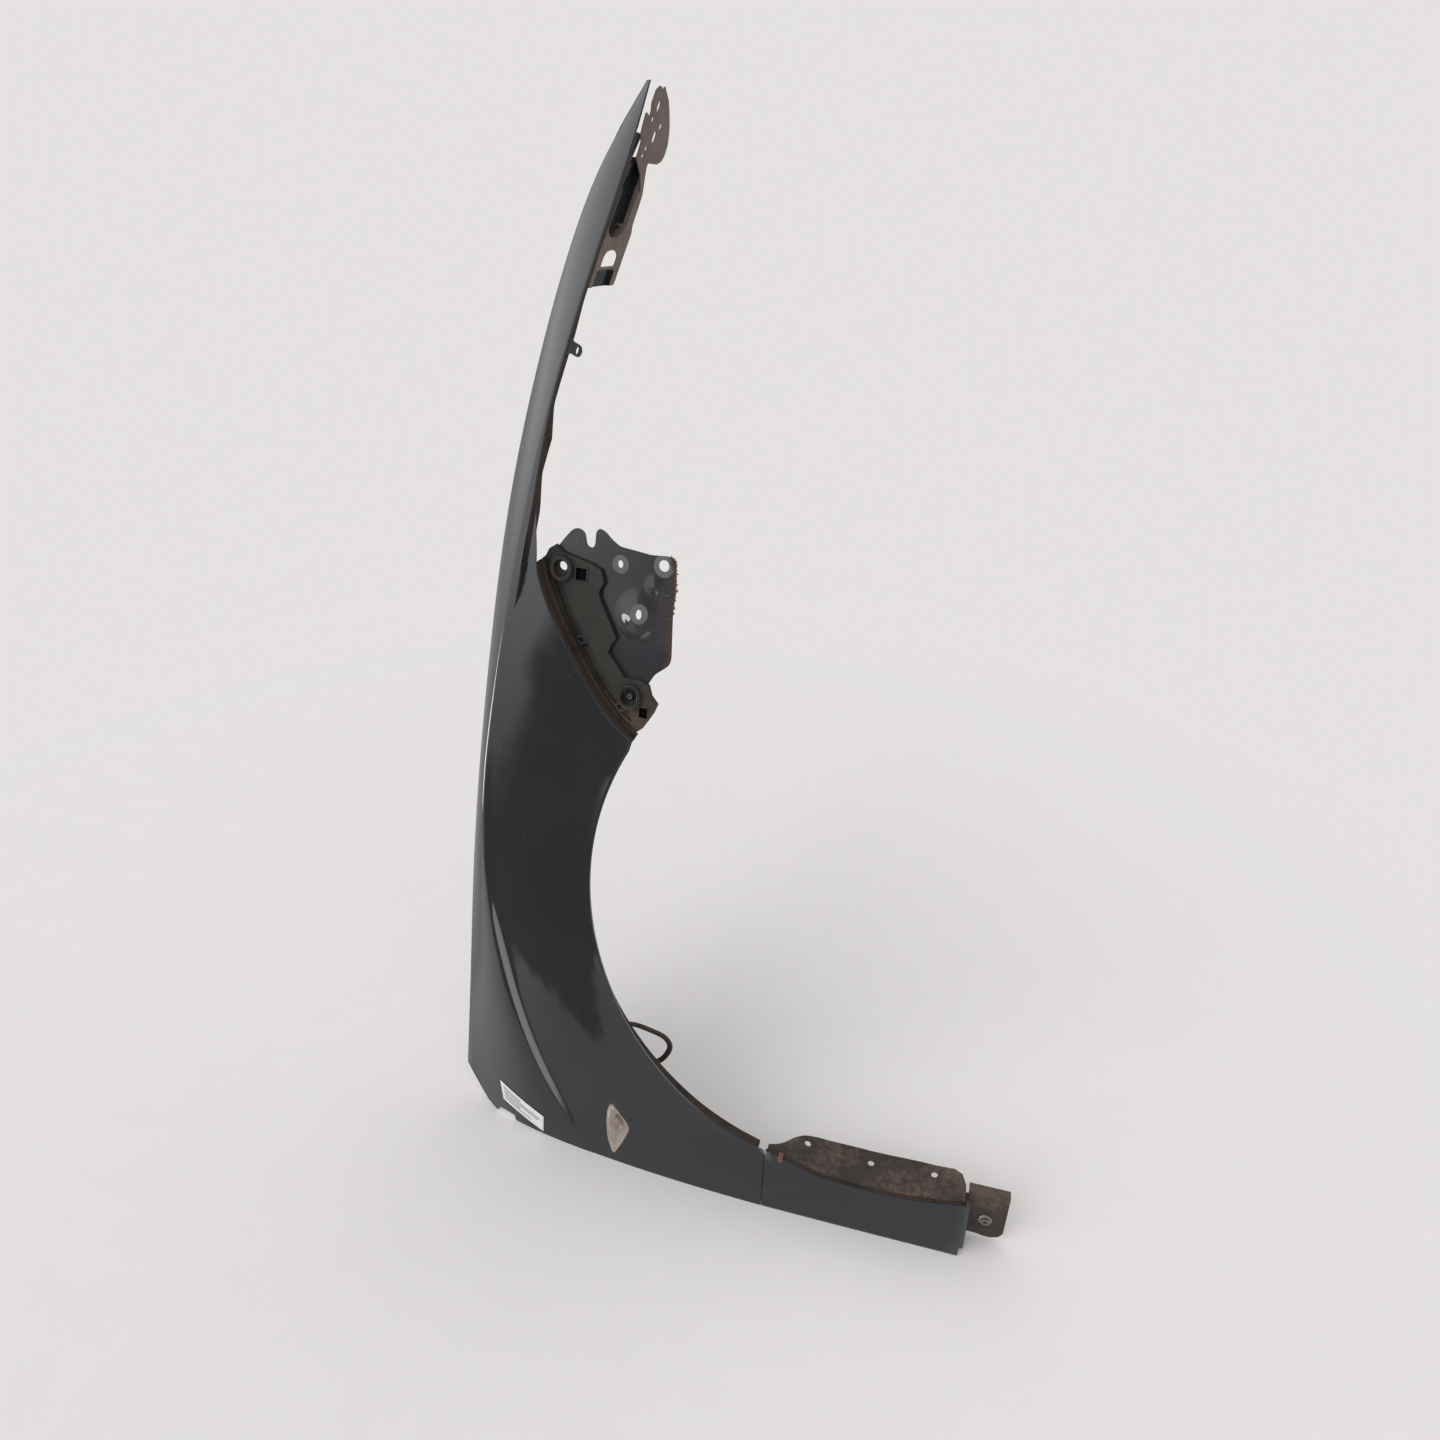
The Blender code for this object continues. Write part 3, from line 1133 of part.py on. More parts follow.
def make_lamp(root, tree):
    """Side repeater: a clear lens through the skin, its housing, and a bulb."""

    def at(depth):
        return lambda x, z: outer_y(tree, *LAMP_CENTRE) + depth

    def flush(depth):
        return lambda x, z: outer_y(tree, x, z) + depth

    def ring(scale, grow=0.0):
        return scaled_outline(LAMP_OUTLINE, LAMP_CENTRE, scale, grow)

    lens = lofted([(ring(0.25), flush(LENS_WALL - LAMP_RISE)),
                   (ring(0.58), flush(LENS_WALL - LAMP_RISE * 0.92)),
                   (ring(0.80), flush(LENS_WALL - LAMP_RISE * 0.62)),
                   (ring(0.84), flush(SHEET)), (ring(1.0, -GAP), flush(SHEET)),
                   (ring(1.0, -GAP), flush(-0.0012)), (ring(0.90), flush(-LAMP_RISE * 0.62)),
                   (ring(0.62), flush(-LAMP_RISE * 0.92)), (ring(0.25), flush(-LAMP_RISE))])
    add_object("repeater_lens", mesh_from_bmesh("repeater_lens", lens),
               material("clear_lens", (0.75, 0.72, 0.66), 0.08, 0.0, 0.45), root)
    seat = SHEET + GAP
    housing = lofted([(ring(0.52), at(HOUSING_DEPTH - 0.004)), (ring(0.80), flush(seat)),
                      (ring(1.0, 0.004), flush(seat)), (ring(1.0, 0.004), flush(seat + 0.003)),
                      (ring(0.72), at(HOUSING_DEPTH)), (ring(0.30), at(HOUSING_DEPTH + 0.004))])
    add_object("repeater_housing", mesh_from_bmesh("repeater_housing", housing),
               material("grey_plastic", (0.085, 0.078, 0.070), 0.7), root)
    base = outer_y(tree, *LAMP_CENTRE) + HOUSING_DEPTH - 0.004 - GAP
    top = outer_y(tree, *LAMP_CENTRE) - LAMP_RISE * 0.3
    r = BULB_RADIUS
    profile = [(0, top), (r * 0.6, top + r * 0.2), (r * 0.92, top + r * 0.6), (r, top + r * 1.1),
               (r, base - 0.006), (r * 1.2, base - 0.005), (r * 1.2, base), (0, base)]
    add_object("repeater_bulb", mesh_from_bmesh("repeater_bulb", turned_bmesh(profile, LAMP_CENTRE, 14)),
               material("amber_bulb", (0.75, 0.25, 0.05), 0.2), root)


def make_label(root, tree):
    """Plain paper label that follows the shoulder beside the door edge."""
    corners = [Vector((x, 0, z)) for x, z in LABEL_CORNERS]
    sheet = Sheet()
    rows = []
    across, down = 4, 8
    for j in range(down + 1):
        points = []
        for i in range(across + 1):
            a, b = i / across, j / down
            top = corners[0].lerp(corners[1], a)
            low = corners[3].lerp(corners[2], a)
            at = top.lerp(low, b)
            at.y = outer_y(tree, at.x, at.z) - LABEL_LIFT - LABEL_SHEET
            points.append(at)
        rows.append(sheet.row(points))
    for first, second in zip(rows, rows[1:]):
        sheet.join(first, second)
    obj = add_object("paper_label", sheet.mesh("paper_label"),
                     material("label_paper", (0.75, 0.77, 0.80), 0.6), root)
    solidify(obj, LABEL_SHEET)


def main():
    clear_scene()
    root = bpy.data.objects.new("door_edge_foot", None)
    bpy.context.scene.collection.objects.link(root)
    root.location = -DATUM
    tree = make_skin(root)
    make_lower_panel(root)
    make_liner_panel(root)
    make_liner_clip(root)
    make_sill_foot(root)
    make_foot_bolt(root)
    make_support_plate(root)
    make_guide(root)
    make_plug_and_screw(root)
    make_horn_rail(root)
    make_tip_bracket(root)
    make_strap(root, tree)
    make_lamp(root, tree)
    make_label(root, tree)


main()
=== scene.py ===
"""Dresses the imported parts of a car's right front fender and sets them in a plain studio.

Lengths are in metres. The forming formulae use the press frame: x runs forward from
the door edge, y inboard and z up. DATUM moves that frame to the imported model's own.
"""

import math

import bmesh
import bpy
import numpy as np
from bpy.props import FloatProperty, FloatVectorProperty, IntProperty, PointerProperty
from mathutils import Matrix, Vector
from mathutils.bvhtree import BVHTree


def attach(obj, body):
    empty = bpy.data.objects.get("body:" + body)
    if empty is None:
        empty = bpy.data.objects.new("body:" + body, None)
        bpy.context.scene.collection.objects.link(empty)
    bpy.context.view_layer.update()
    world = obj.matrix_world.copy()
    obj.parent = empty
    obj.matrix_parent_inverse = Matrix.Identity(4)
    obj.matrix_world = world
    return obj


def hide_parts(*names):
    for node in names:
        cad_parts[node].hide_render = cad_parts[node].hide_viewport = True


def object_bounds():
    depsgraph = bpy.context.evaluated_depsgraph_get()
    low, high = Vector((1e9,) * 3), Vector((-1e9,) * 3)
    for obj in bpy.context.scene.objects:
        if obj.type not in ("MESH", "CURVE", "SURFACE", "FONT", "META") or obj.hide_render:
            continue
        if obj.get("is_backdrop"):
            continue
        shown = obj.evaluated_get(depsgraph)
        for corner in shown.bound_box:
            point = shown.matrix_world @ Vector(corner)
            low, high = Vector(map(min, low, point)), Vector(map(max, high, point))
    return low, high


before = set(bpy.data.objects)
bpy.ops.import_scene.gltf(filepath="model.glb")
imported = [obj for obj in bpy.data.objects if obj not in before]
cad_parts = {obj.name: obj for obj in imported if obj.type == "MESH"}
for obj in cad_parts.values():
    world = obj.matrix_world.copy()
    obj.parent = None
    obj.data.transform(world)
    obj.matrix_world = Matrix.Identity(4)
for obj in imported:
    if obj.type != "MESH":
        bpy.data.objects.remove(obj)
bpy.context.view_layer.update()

bl_info = {
    "name": "Car fender",
    "version": (1, 0, 0),
    "blender": (4, 5, 0),
    "location": "3D View > Sidebar > Fender",
    "description": "Builds a car's front fender with its panels, brackets and side lamp",
    "category": "Add Mesh",
}

# Sheet and fits
SHEET = 0.0008
GAP = 0.0003
FOLD_RADIUS = 0.0022

# Outer surface: inboard = TAPER x + SWEEP x^2 + TUMBLE z^3
TAPER = 0.10
SWEEP = 0.10
TUMBLE = 0.16
HORN_SWEEP = 0.35
HORN_CROWN = 0.0035
CREASE_HOLLOW = 0.0032
CREASE_LEVEL = 1.15
CREASE_STEEP = 17
CREASE_REACH = 0.6
CREASE_TAIL_SHARE = 0.15
CREASE_FULL_X = 0.12
CREASE_FRONT_SHARE = 0.4
CREASE_FADE_X = (0.62, 0.30)
CREASE_EASE_X = (0.42, 0.25)
ARCH_FLARE = 0.004
ARCH_FLARE_REAR_X = (0.04, 0.12)
ARCH_FLARE_FRONT_X = (0.58, 0.48)
ARCH_FLARE_POWER = 6
RIDGE_SOFT = 0.35
TIP_TAPER = 0.1

# Bonnet edge and ridge
TIP_X = 1.239
BONNET_EDGE_Y = ((0.048, 0.078), (0.2, 0.107), (0.4, 0.140), (0.6, 0.178), (0.8, 0.225),
                 (1.0, 0.292), (1.1, 0.334), (TIP_X, 0.397))
BONNET_EDGE_Z = ((0.048, 0.691), (0.242, 0.681), (0.448, 0.666), (0.656, 0.645), (0.84, 0.621),
                 (0.987, 0.594), (1.086, 0.571), (1.164, 0.544), (TIP_X, 0.503))
BONNET_END_X = 0.048
NOTCH_X = 0.714
RIDGE_Z = ((0.0, 0.487), (0.07, 0.535), (0.15, 0.576), (0.263, 0.612), (0.36, 0.631),
           (0.455, 0.637), (0.605, 0.622), (NOTCH_X, 0.604), (0.80, 0.589), (0.89, 0.573),
           (0.994, 0.551), (1.10, 0.525), (1.17, 0.509), (TIP_X, 0.4995))
NOTCH_DEPTH = 0.010
CREASE_SHARP_X = 0.45
TAIL_BLEND = 0.12
TAIL_CORNER = 0.23
LEAF_STATIONS = 5
HORN_COLUMNS = 24

# Front and lower edge of the side
LEAF_TIP = (0.826, 0.568)
LEAF_UPPER = ((NOTCH_X, 0.594), (0.742, 0.581), (0.770, 0.5765), (0.800, 0.572), LEAF_TIP)
LEAF_LOWER = (0.800, 0.5668)
BUMPER_EDGE = ((0.772, 0.565), (0.748, 0.558), (0.715, 0.541), (0.680, 0.518), (0.643, 0.491),
               (0.612, 0.462))
ARCH_CORNER = (0.595, 0.437)
ARCH_CENTRE = (0.417, 0.140)
ARCH_RADIUS = 0.343
ARCH_START = math.radians(61)
ARCH_END = math.radians(161.5)
ARCH_STEPS = 20
CREASE_AT_ARCH_FRONT = 0.56
CREASE_AT_SEAM = 0.04
SEAM_Z = 0.247

# Flanges
LEDGE_DROP = 0.018
LEDGE_WIDTH = 0.026
LEDGE_LEAN = 0.25
LEDGE_END_X = 1.19
PAD_X = (0.12, 0.36, 0.60, 0.84)
PAD_HALF = 0.020
PAD_HOLE_R = 0.0045
PAD_REST = 0.012
HORN_FLANGE = ((NOTCH_X, 0.012), (0.74, 0.017), (0.82, 0.016), (0.86, 0.009), (0.895, 0.015),
               (0.93, 0.007), (1.00, 0.009), (1.03, 0.006), (TIP_X, 0.004))
HORN_FACET = ((NOTCH_X, NOTCH_DEPTH), (0.83, 0.008), (0.88, 0.005), (0.93, 0.002), (TIP_X, 0.0015))
HORN_FALL = 0.35
HORN_FLANGE_END_X = 1.195
BUMPER_FLANGE = 0.010
BUMPER_LIP = 0.0045
ARCH_LIP = 0.011
ARCH_LIP_TURN = math.radians(38)
DOOR_HEM = 0.010
HEM_LEAN = (0.0007, 0.0015)
HEM_CUT = 0.004
SEAM_TAB = 0.014
SEAM_STEP = 0.0009
SEAM_MARGIN = 0.10
FOLD_MIDDLE = 0.293
LEDGE_ROWS = 7
TAIL_NOTCH = ((-0.01, 0.600), (0.008, 0.604), (0.008, 0.631), (-0.01, 0.637))
EAR_X = 0.990
EAR_REACH = 0.0265
EAR_WIDTH = 0.013
EAR_FOOT = 0.003
EAR_NECK = 0.010
EAR_HOLE = (0.0042, 0.0026)
EAR_HOLE_BACK = 0.001

# Plates at the front
GUIDE_PLANE = (0.69, 0.49, 0.1535, 0.28, 0.12)
GUIDE_SHEET = 0.006
PLATE_SHEET = 0.0015
BRACKET_SHEET = 0.0012
SUPPORT_OUTLINE = ((0.776, 0.556), (0.797, 0.539), (0.804, 0.532), (0.805, 0.524), (0.801, 0.517),
                   (0.789, 0.5145), (0.7863, 0.510), (0.787, 0.506), (0.792, 0.504),
                   (0.804, 0.504), (0.808, 0.500), (0.805, 0.492), (0.798, 0.484),
                   (0.792, 0.474), (0.790, 0.454), (0.788, 0.436), (0.7895, 0.414),
                   (0.787, 0.408), (0.780, 0.4055), (0.756, 0.404), (0.730, 0.406),
                   (0.682, 0.404), (0.675, 0.406), (0.663, 0.422), (0.650, 0.430),
                   (0.630, 0.434), (0.626, 0.452), (0.690, 0.505), (0.742, 0.545))
SUPPORT_HOLES = ((0.774, 0.472, 0.0042, 0.0032), (0.779, 0.420, 0.0062, 0.0062),
                 (0.727, 0.444, 0.0052, 0.0034), (0.764, 0.541, 0.0075, 0.0075))
SUPPORT_RINGS = ((0.774, 0.472, 0.0095), (0.779, 0.420, 0.0118), (0.727, 0.444, 0.0100))
DOMES = ((0.724, 0.446, 0.029, 0.009), (0.757, 0.429, 0.013, 0.0028))
LOWER_BOSS = (0.638, 0.448)
GUIDE_POCKETS = ((0.759, 0.517, 0.014, 0.013), (0.622, 0.431, 0.011, 0.010))
POCKET_FROM = 0.0006
BOSS_RISE = 0.006
PLUG_BORE = 0.0115
PLUG_RISE = 0.003
PLUG_SEAT = 0.002 - GAP
PLUG_HOLE = 0.0042
PLUG_FACE = ((0.0050, -0.0004), (0.0062, -0.0012), (0.0086, -0.0042), (0.0092, -0.0062),
             (0.0100, -0.0067))
PLUG_ROUNDING = 0.0004
SCREW_RADIUS = 0.0018
SCREW_HEAD = ((0, -0.0022), (0.0010, -0.0022), (0.0013, -0.0034), (0.0030, -0.0033),
              (0.0035, -0.0026), (0.0036, PLUG_SEAT - 0.0005))
SCREW_END = (0.0130, 0.0145)
MUDDY_EDGE = slice(16, 21)
GRIT_SPREAD = 1.4

# Brackets under the horn, as distance behind the tip and reach from the horn's edge
RAIL_OUTLINE = ((0.196, 0.0015), (0.196, 0.050), (0.146, 0.051), (0.138, 0.048), (0.109, 0.047),
                (0.089, 0.040), (0.072, 0.034), (0.072, 0.0015))
RAIL_POCKET = (0.134, 0.067, 0.0225, 0.0125)
RAIL_POCKET_DEPTH = 0.011
RAIL_POCKET_WALL = (0.0025, -0.001)
RAIL_SUNK = (0.179, 0.014, 0.042, 0.005)
RAIL_SUNK_WALL = 0.002
# Share of the rail's pocket or sunk end past which faces take the dark paint, a painted shade
RAIL_SHADE_FROM = 0.7
RAIL_HOLE = ((0.1765, 0.0165), (0.1765, 0.0395), (0.167, 0.0395), (0.162, 0.034),
             (0.1605, 0.026), (0.162, 0.019), (0.167, 0.0165))
TIP_OUTLINE = ((0.106, 0.0395), (0.089, 0.0285), (0.073, 0.0125), (0.058, 0.0125),
               (0.051, 0.008), (0.041, 0.007), (0.03, 0.007), (0.034, 0.0145),
               (0.028, 0.0145), (0.021, 0.012), (0.009, 0.0135), (0.0045, 0.018),
               (0.006, 0.0225), (0.01, 0.0235), (0.0045, 0.0265), (0.018, 0.040),
               (0.034, 0.050), (0.049, 0.060), (0.061, 0.067), (0.07, 0.067), (0.076, 0.062),
               (0.079, 0.052), (0.078, 0.035), (0.089, 0.036), (0.098, 0.040))
TIP_HOLES = ((0.024, 0.025, 0.0055, 0.0022), (0.0365, 0.021, 0.0026, 0.0018),
             (0.043, 0.038, 0.0036, 0.0018), (0.053, 0.032, 0.0062, 0.0024),
             (0.064, 0.024, 0.0024, 0.0018), (0.071, 0.022, 0.0024, 0.0018))
TIP_CURL = 0.005
TIP_CURL_SPAN = (0.045, 0.067)
TIP_DIMPLES = ((0.062, 0.058, 0.004, 0.0012), (0.028, 0.033, 0.005, 0.001))

# Fineness and corner rounding of the stamped plates
PLATE_GRID, PLATE_CORNER = 0.0021, 0.004
RAIL_GRID, RAIL_CORNER = 0.0016, 0.002
TIP_GRID, TIP_CORNER = 0.0012, 0.0015

# Sill end, strap, lamp and label
LOWER_PANEL_FACE = -0.93
FOOT_PLATE_Y = 0.034
FOOT_BOLT = (0.034, -0.028)
BOLT_HOLE_R = 0.0045
BOLT_HEAD = ((0, -0.0022), (0.0026, -0.0022), (0.0031, -0.0048), (0.0048, -0.0048),
             (0.0053, -0.0042), (0.0053, -0.0020), (0.0064, -0.0016), (0.0080, -0.0012),
             (0.0086, -0.0009), (0.0088, 0))
BOLT_LENGTH = 0.018
BOLT_POINT = 0.002
STRAP_RADIUS = 0.0024
STRAP_STEPS = 90
STRAP_PATH = ((0.196, 0.071, 0.431), (0.189, 0.073, 0.410), (0.182, 0.073, 0.394),
              (0.171, 0.073, 0.388), (0.156, 0.073, 0.391), (0.144, 0.071, 0.399))
STRAP_FEET = (((0.2075, 0.4660), (0.2060, 0.4575)), ((0.1350, 0.4280), (0.1335, 0.4365)))
STRAP_RISE = (0.203, 0.060, 0.446)
STRAP_FALL = (0.1375, 0.056, 0.416)
LAMP_OUTLINE = ((0.095, 0.4545), (0.082, 0.459), (0.060, 0.4605), (0.036, 0.459), (0.014, 0.452),
                (0.0135, 0.4485), (0.030, 0.440), (0.050, 0.4315), (0.063, 0.4275),
                (0.072, 0.431), (0.084, 0.441), (0.094, 0.450))
LAMP_CENTRE = (0.057, 0.446)
LAMP_RISE = 0.0055
LENS_WALL = 0.0015
HOUSING_DEPTH = 0.020
LAMP_CORNER = 0.006
LENS_TURN = (0.2, 1.35)
LENS_DOME = 0.98
LENS_HOLLOW = 0.84
LENS_RIM = 0.86
LENS_PROUD = 0.0006
BOWL_HOLLOW = ((0.40, 0.0035), (0.52, 0.005), (0.66, 0.010))
BOWL_MOUTH = 0.80
BOWL_COLLAR = 0.004
BOWL_COLLAR_SHEET = 0.003
BOWL_BACK = ((0.72, 0.0), (0.30, 0.004))
BULB_RADIUS = 0.0042
BULB_SEAT = 0.004
BULB_COLLAR = 1.2
BULB_COLLAR_TOP = (0.006, 0.005)
LABEL_CORNERS = ((0.0585, 0.626), (0.0275, 0.622), (0.0045, 0.556), (0.0315, 0.5545))
LABEL_LIFT = 0.0006
LABEL_SHEET = 0.0003
LABEL_CELLS = (24, 12)
LABEL_LINES = 7.0

# Cutting and welding
WELD = 0.00002
FLAT = math.radians(0.4)
STAMP_MARGIN = 0.001
OUTLINE_CUT = (-0.01, 0.02)
HOLE_CUT = (-0.02, 0.03)
NOTCH_CUT = (-0.02, 0.08)
LAMP_CUT = (-0.02, 0.06)
PAD_CUT = 0.012

# Colours of the finishes, dark and light where there are two
SCRATCHED_PAINT = (0.30, 0.31, 0.32)
OVERSPRAY = ((0.040, 0.042, 0.045), (0.072, 0.074, 0.076))
PRIMER = ((0.038, 0.030, 0.027), (0.080, 0.062, 0.055))
SCRATCHED_PRIMER = (0.22, 0.20, 0.19)
BROWNED = ((0.13, 0.102, 0.090), (0.28, 0.222, 0.196))
SCRATCHED_BROWN = (0.25, 0.23, 0.22)
RUST = ((0.075, 0.040, 0.026), (0.26, 0.15, 0.085))
PLATE_DARK = ((0.020, 0.018, 0.023), (0.046, 0.041, 0.047))
WASHER_PALE = ((0.10, 0.11, 0.108), (0.21, 0.22, 0.215))
SCRATCHED_PLATE = (0.42, 0.41, 0.42)
ZINC = ((0.30, 0.27, 0.23), (0.56, 0.53, 0.48))
MOULDED_GREY = ((0.030, 0.029, 0.026), (0.050, 0.048, 0.043))
PLUG_BLACK = (0.010, 0.011, 0.012)
# Painted shade in the guide's pockets
PAINTED_POCKET_SHADE = (0.006, 0.006, 0.007)
CLEAN_LENS = (0.95, 0.92, 0.89)
LENS_DUST = (0.62, 0.48, 0.38)
# Pale reflector colour that partly stands in for a painted highlight
PALE_BOWL_AND_HIGHLIGHT = (0.92, 0.80, 0.70)
BROWN_BOWL = (0.20, 0.115, 0.075)
PRINT_GREY = (0.12, 0.125, 0.135)
PAPER_SOIL = (0.45, 0.43, 0.40)


def natural_spline(knots):
    """A smooth function through (x, value) knots, straight beyond the two ends."""
    xs, ys = np.array(sorted(knots), float).T
    spans = np.diff(xs)
    slopes = np.diff(ys) / spans
    matrix = np.eye(len(xs))
    turn = np.zeros(len(xs))
    for i in range(1, len(xs) - 1):
        matrix[i, i - 1:i + 2] = spans[i - 1], 2 * (spans[i - 1] + spans[i]), spans[i]
        turn[i] = 6 * (slopes[i] - slopes[i - 1])
    bend = np.linalg.solve(matrix, turn)

    def value(x):
        i = int(np.clip(np.searchsorted(xs, x) - 1, 0, len(spans) - 1))
        a = xs[i + 1] - x
        b = x - xs[i]
        h = spans[i]
        cubic = (bend[i] * a ** 3 + bend[i + 1] * b ** 3) / (6 * h)
        linear = (ys[i] / h - bend[i] * h / 6) * a + (ys[i + 1] / h - bend[i + 1] * h / 6) * b
        return float(cubic + linear)

    return value


def ease(x, start, end):
    """0 at start, 1 at end, level at both."""
    share = min(1.0, max(0.0, (x - start) / (end - start)))
    return share * share * (3 - 2 * share)


def table(knots):
    """Straight runs between (x, value) knots."""
    xs, ys = np.array(sorted(knots), float).T
    return lambda x: float(np.interp(x, xs, ys))


bonnet_y = natural_spline(BONNET_EDGE_Y)
bonnet_z = natural_spline(BONNET_EDGE_Z)
ridge_z = natural_spline(RIDGE_Z)
horn_flange_width = table(HORN_FLANGE)
horn_facet = table(HORN_FACET)
HORN_INWARD = Vector((0, 1, -HORN_FALL)).normalized()
HORN_BEHIND = Vector((0, HORN_FALL, 1)).normalized()


def side_y(x, z):
    """How far inboard the side of the car lies at a place in the side view."""
    return TAPER * x + SWEEP * x * x + TUMBLE * abs(z) ** 3


def horn_inset(x):
    return HORN_SWEEP * max(0.0, x - NOTCH_X) ** 2


def ridge_point(x):
    z = ridge_z(x)
    return Vector((x, side_y(x, z) + horn_inset(x), z))


def horn_edge(x):
    """Lower edge of the horn, where its flange turns inboard."""
    z = ridge_z(x) - horn_facet(x)
    return Vector((x, side_y(x, z) + horn_inset(x), z))


def bonnet_point(x):
    return Vector((x, bonnet_y(x), bonnet_z(x)))


def ledge_z(x):
    """Height of the bonnet-side ledge, level at each bolting pad."""
    knots = []
    for pad in PAD_X:
        level = bonnet_z(pad) - LEDGE_DROP
        knots += [(pad - PAD_HALF, level), (pad + PAD_HALF, level)]
    first, last = PAD_X[0] - 2 * PAD_HALF, PAD_X[-1] + 2 * PAD_HALF
    ends = [(x, bonnet_z(x) - LEDGE_DROP) for x in (0.0, first, last, 1.0, 1.1, LEDGE_END_X)]
    return table(knots + ends)(x)


def ledge_y(x):
    return bonnet_y(x) + LEDGE_LEAN * (bonnet_z(x) - ledge_z(x))


DATUM = Vector((PAD_X[1] + PAD_REST, ledge_y(PAD_X[1]) + LEDGE_WIDTH / 2,
                ledge_z(PAD_X[1]) - SHEET))


def guide_y(x, z):
    """Depth of the bumper guide's outer face."""
    x0, z0, depth, by_x, by_z = GUIDE_PLANE
    return depth + by_x * (x - x0) + by_z * (z - z0)


# Settings a user would change

class FenderPaint(bpy.types.PropertyGroup):
    """Colours and wear of the painted sheet."""
    colour: FloatVectorProperty(name="Paint", description="Colour under the clear coat",
                                default=(0.022, 0.023, 0.026), min=0, max=1, subtype="COLOR")
    dark: FloatVectorProperty(name="Flake shadow", description="Colour between the flakes",
                              default=(0.015, 0.016, 0.018), min=0, max=1, subtype="COLOR")
    dust: FloatVectorProperty(name="Dust", description="Colour of dry road dust",
                              default=(0.150, 0.115, 0.094), min=0, max=1, subtype="COLOR")
    mud: FloatVectorProperty(name="Mud", description="Colour of caked mud on bare edges",
                             default=(0.085, 0.053, 0.040), min=0, max=1, subtype="COLOR")
    dust_cover: FloatProperty(name="Dust cover", description="Share of the paint that dust dulls",
                              default=0.22, min=0, max=1, subtype="FACTOR")


class FenderSheet(bpy.types.PropertyGroup):
    """Fineness and thickness of the pressed sheets."""
    thickness: FloatProperty(name="Skin sheet", description="Thickness of the outer skin",
                             default=SHEET, min=0.0005, max=0.002, unit="LENGTH")
    finer: IntProperty(name="Columns", description="Columns between two stations of the edge",
                       default=4, min=1, max=8)
    bevel: FloatProperty(name="Cut edge", description="Rounding of cut and moulded edges",
                         default=0.0004, min=0, max=0.002, unit="LENGTH")


class FenderFittings(bpy.types.PropertyGroup):
    """Sizes of the strap and the crumbs, colours of the bulb and the label."""
    strap_width: FloatProperty(name="Strap width", description="Width of the flat strap",
                               default=0.0070, min=0.003, max=0.01, unit="LENGTH")
    strap_thickness: FloatProperty(name="Strap thickness", description="Thickness of the strap",
                                   default=0.0048, min=0.001, max=0.006, unit="LENGTH")
    grit_size: FloatProperty(name="Grit", description="Size of the largest mud crumbs",
                             default=0.0011, min=0.0002, max=0.004, unit="LENGTH")
    grit_count: IntProperty(name="Crumbs", description="Crumbs along one muddy edge",
                            default=90, min=0, max=400)
    bulb: FloatVectorProperty(name="Bulb", description="Colour of the indicator bulb",
                              default=(0.42, 0.17, 0.05), min=0, max=1, subtype="COLOR")
    label: FloatVectorProperty(name="Label", description="Colour of the paper label",
                               default=(0.80, 0.81, 0.82), min=0, max=1, subtype="COLOR")


class FenderStudio(bpy.types.PropertyGroup):
    """Light and ground around the part."""
    backdrop: FloatVectorProperty(name="Backdrop", description="Colour behind the part",
                                  default=(0.78, 0.76, 0.75), min=0, max=1, subtype="COLOR")
    sky: FloatProperty(name="Soft light", description="Strength of the even light",
                       default=0.72, min=0, max=2)
    sun: FloatProperty(name="Key light", description="Strength of the soft key lamp",
                       default=0.9, min=0, max=4)
    pane: FloatProperty(name="Bright pane", description="Strength of the pane in reflections",
                        default=8.0, min=0, max=20)
    flag: FloatProperty(name="Dark flag", description="What is left of the light the flag hides",
                        default=0.10, min=0, max=1, subtype="FACTOR")


class FenderSettings(bpy.types.PropertyGroup):
    """All settings of the fender."""
    paint: PointerProperty(type=FenderPaint)
    sheet: PointerProperty(type=FenderSheet)
    fittings: PointerProperty(type=FenderFittings)
    studio: PointerProperty(type=FenderStudio)


# Node trees

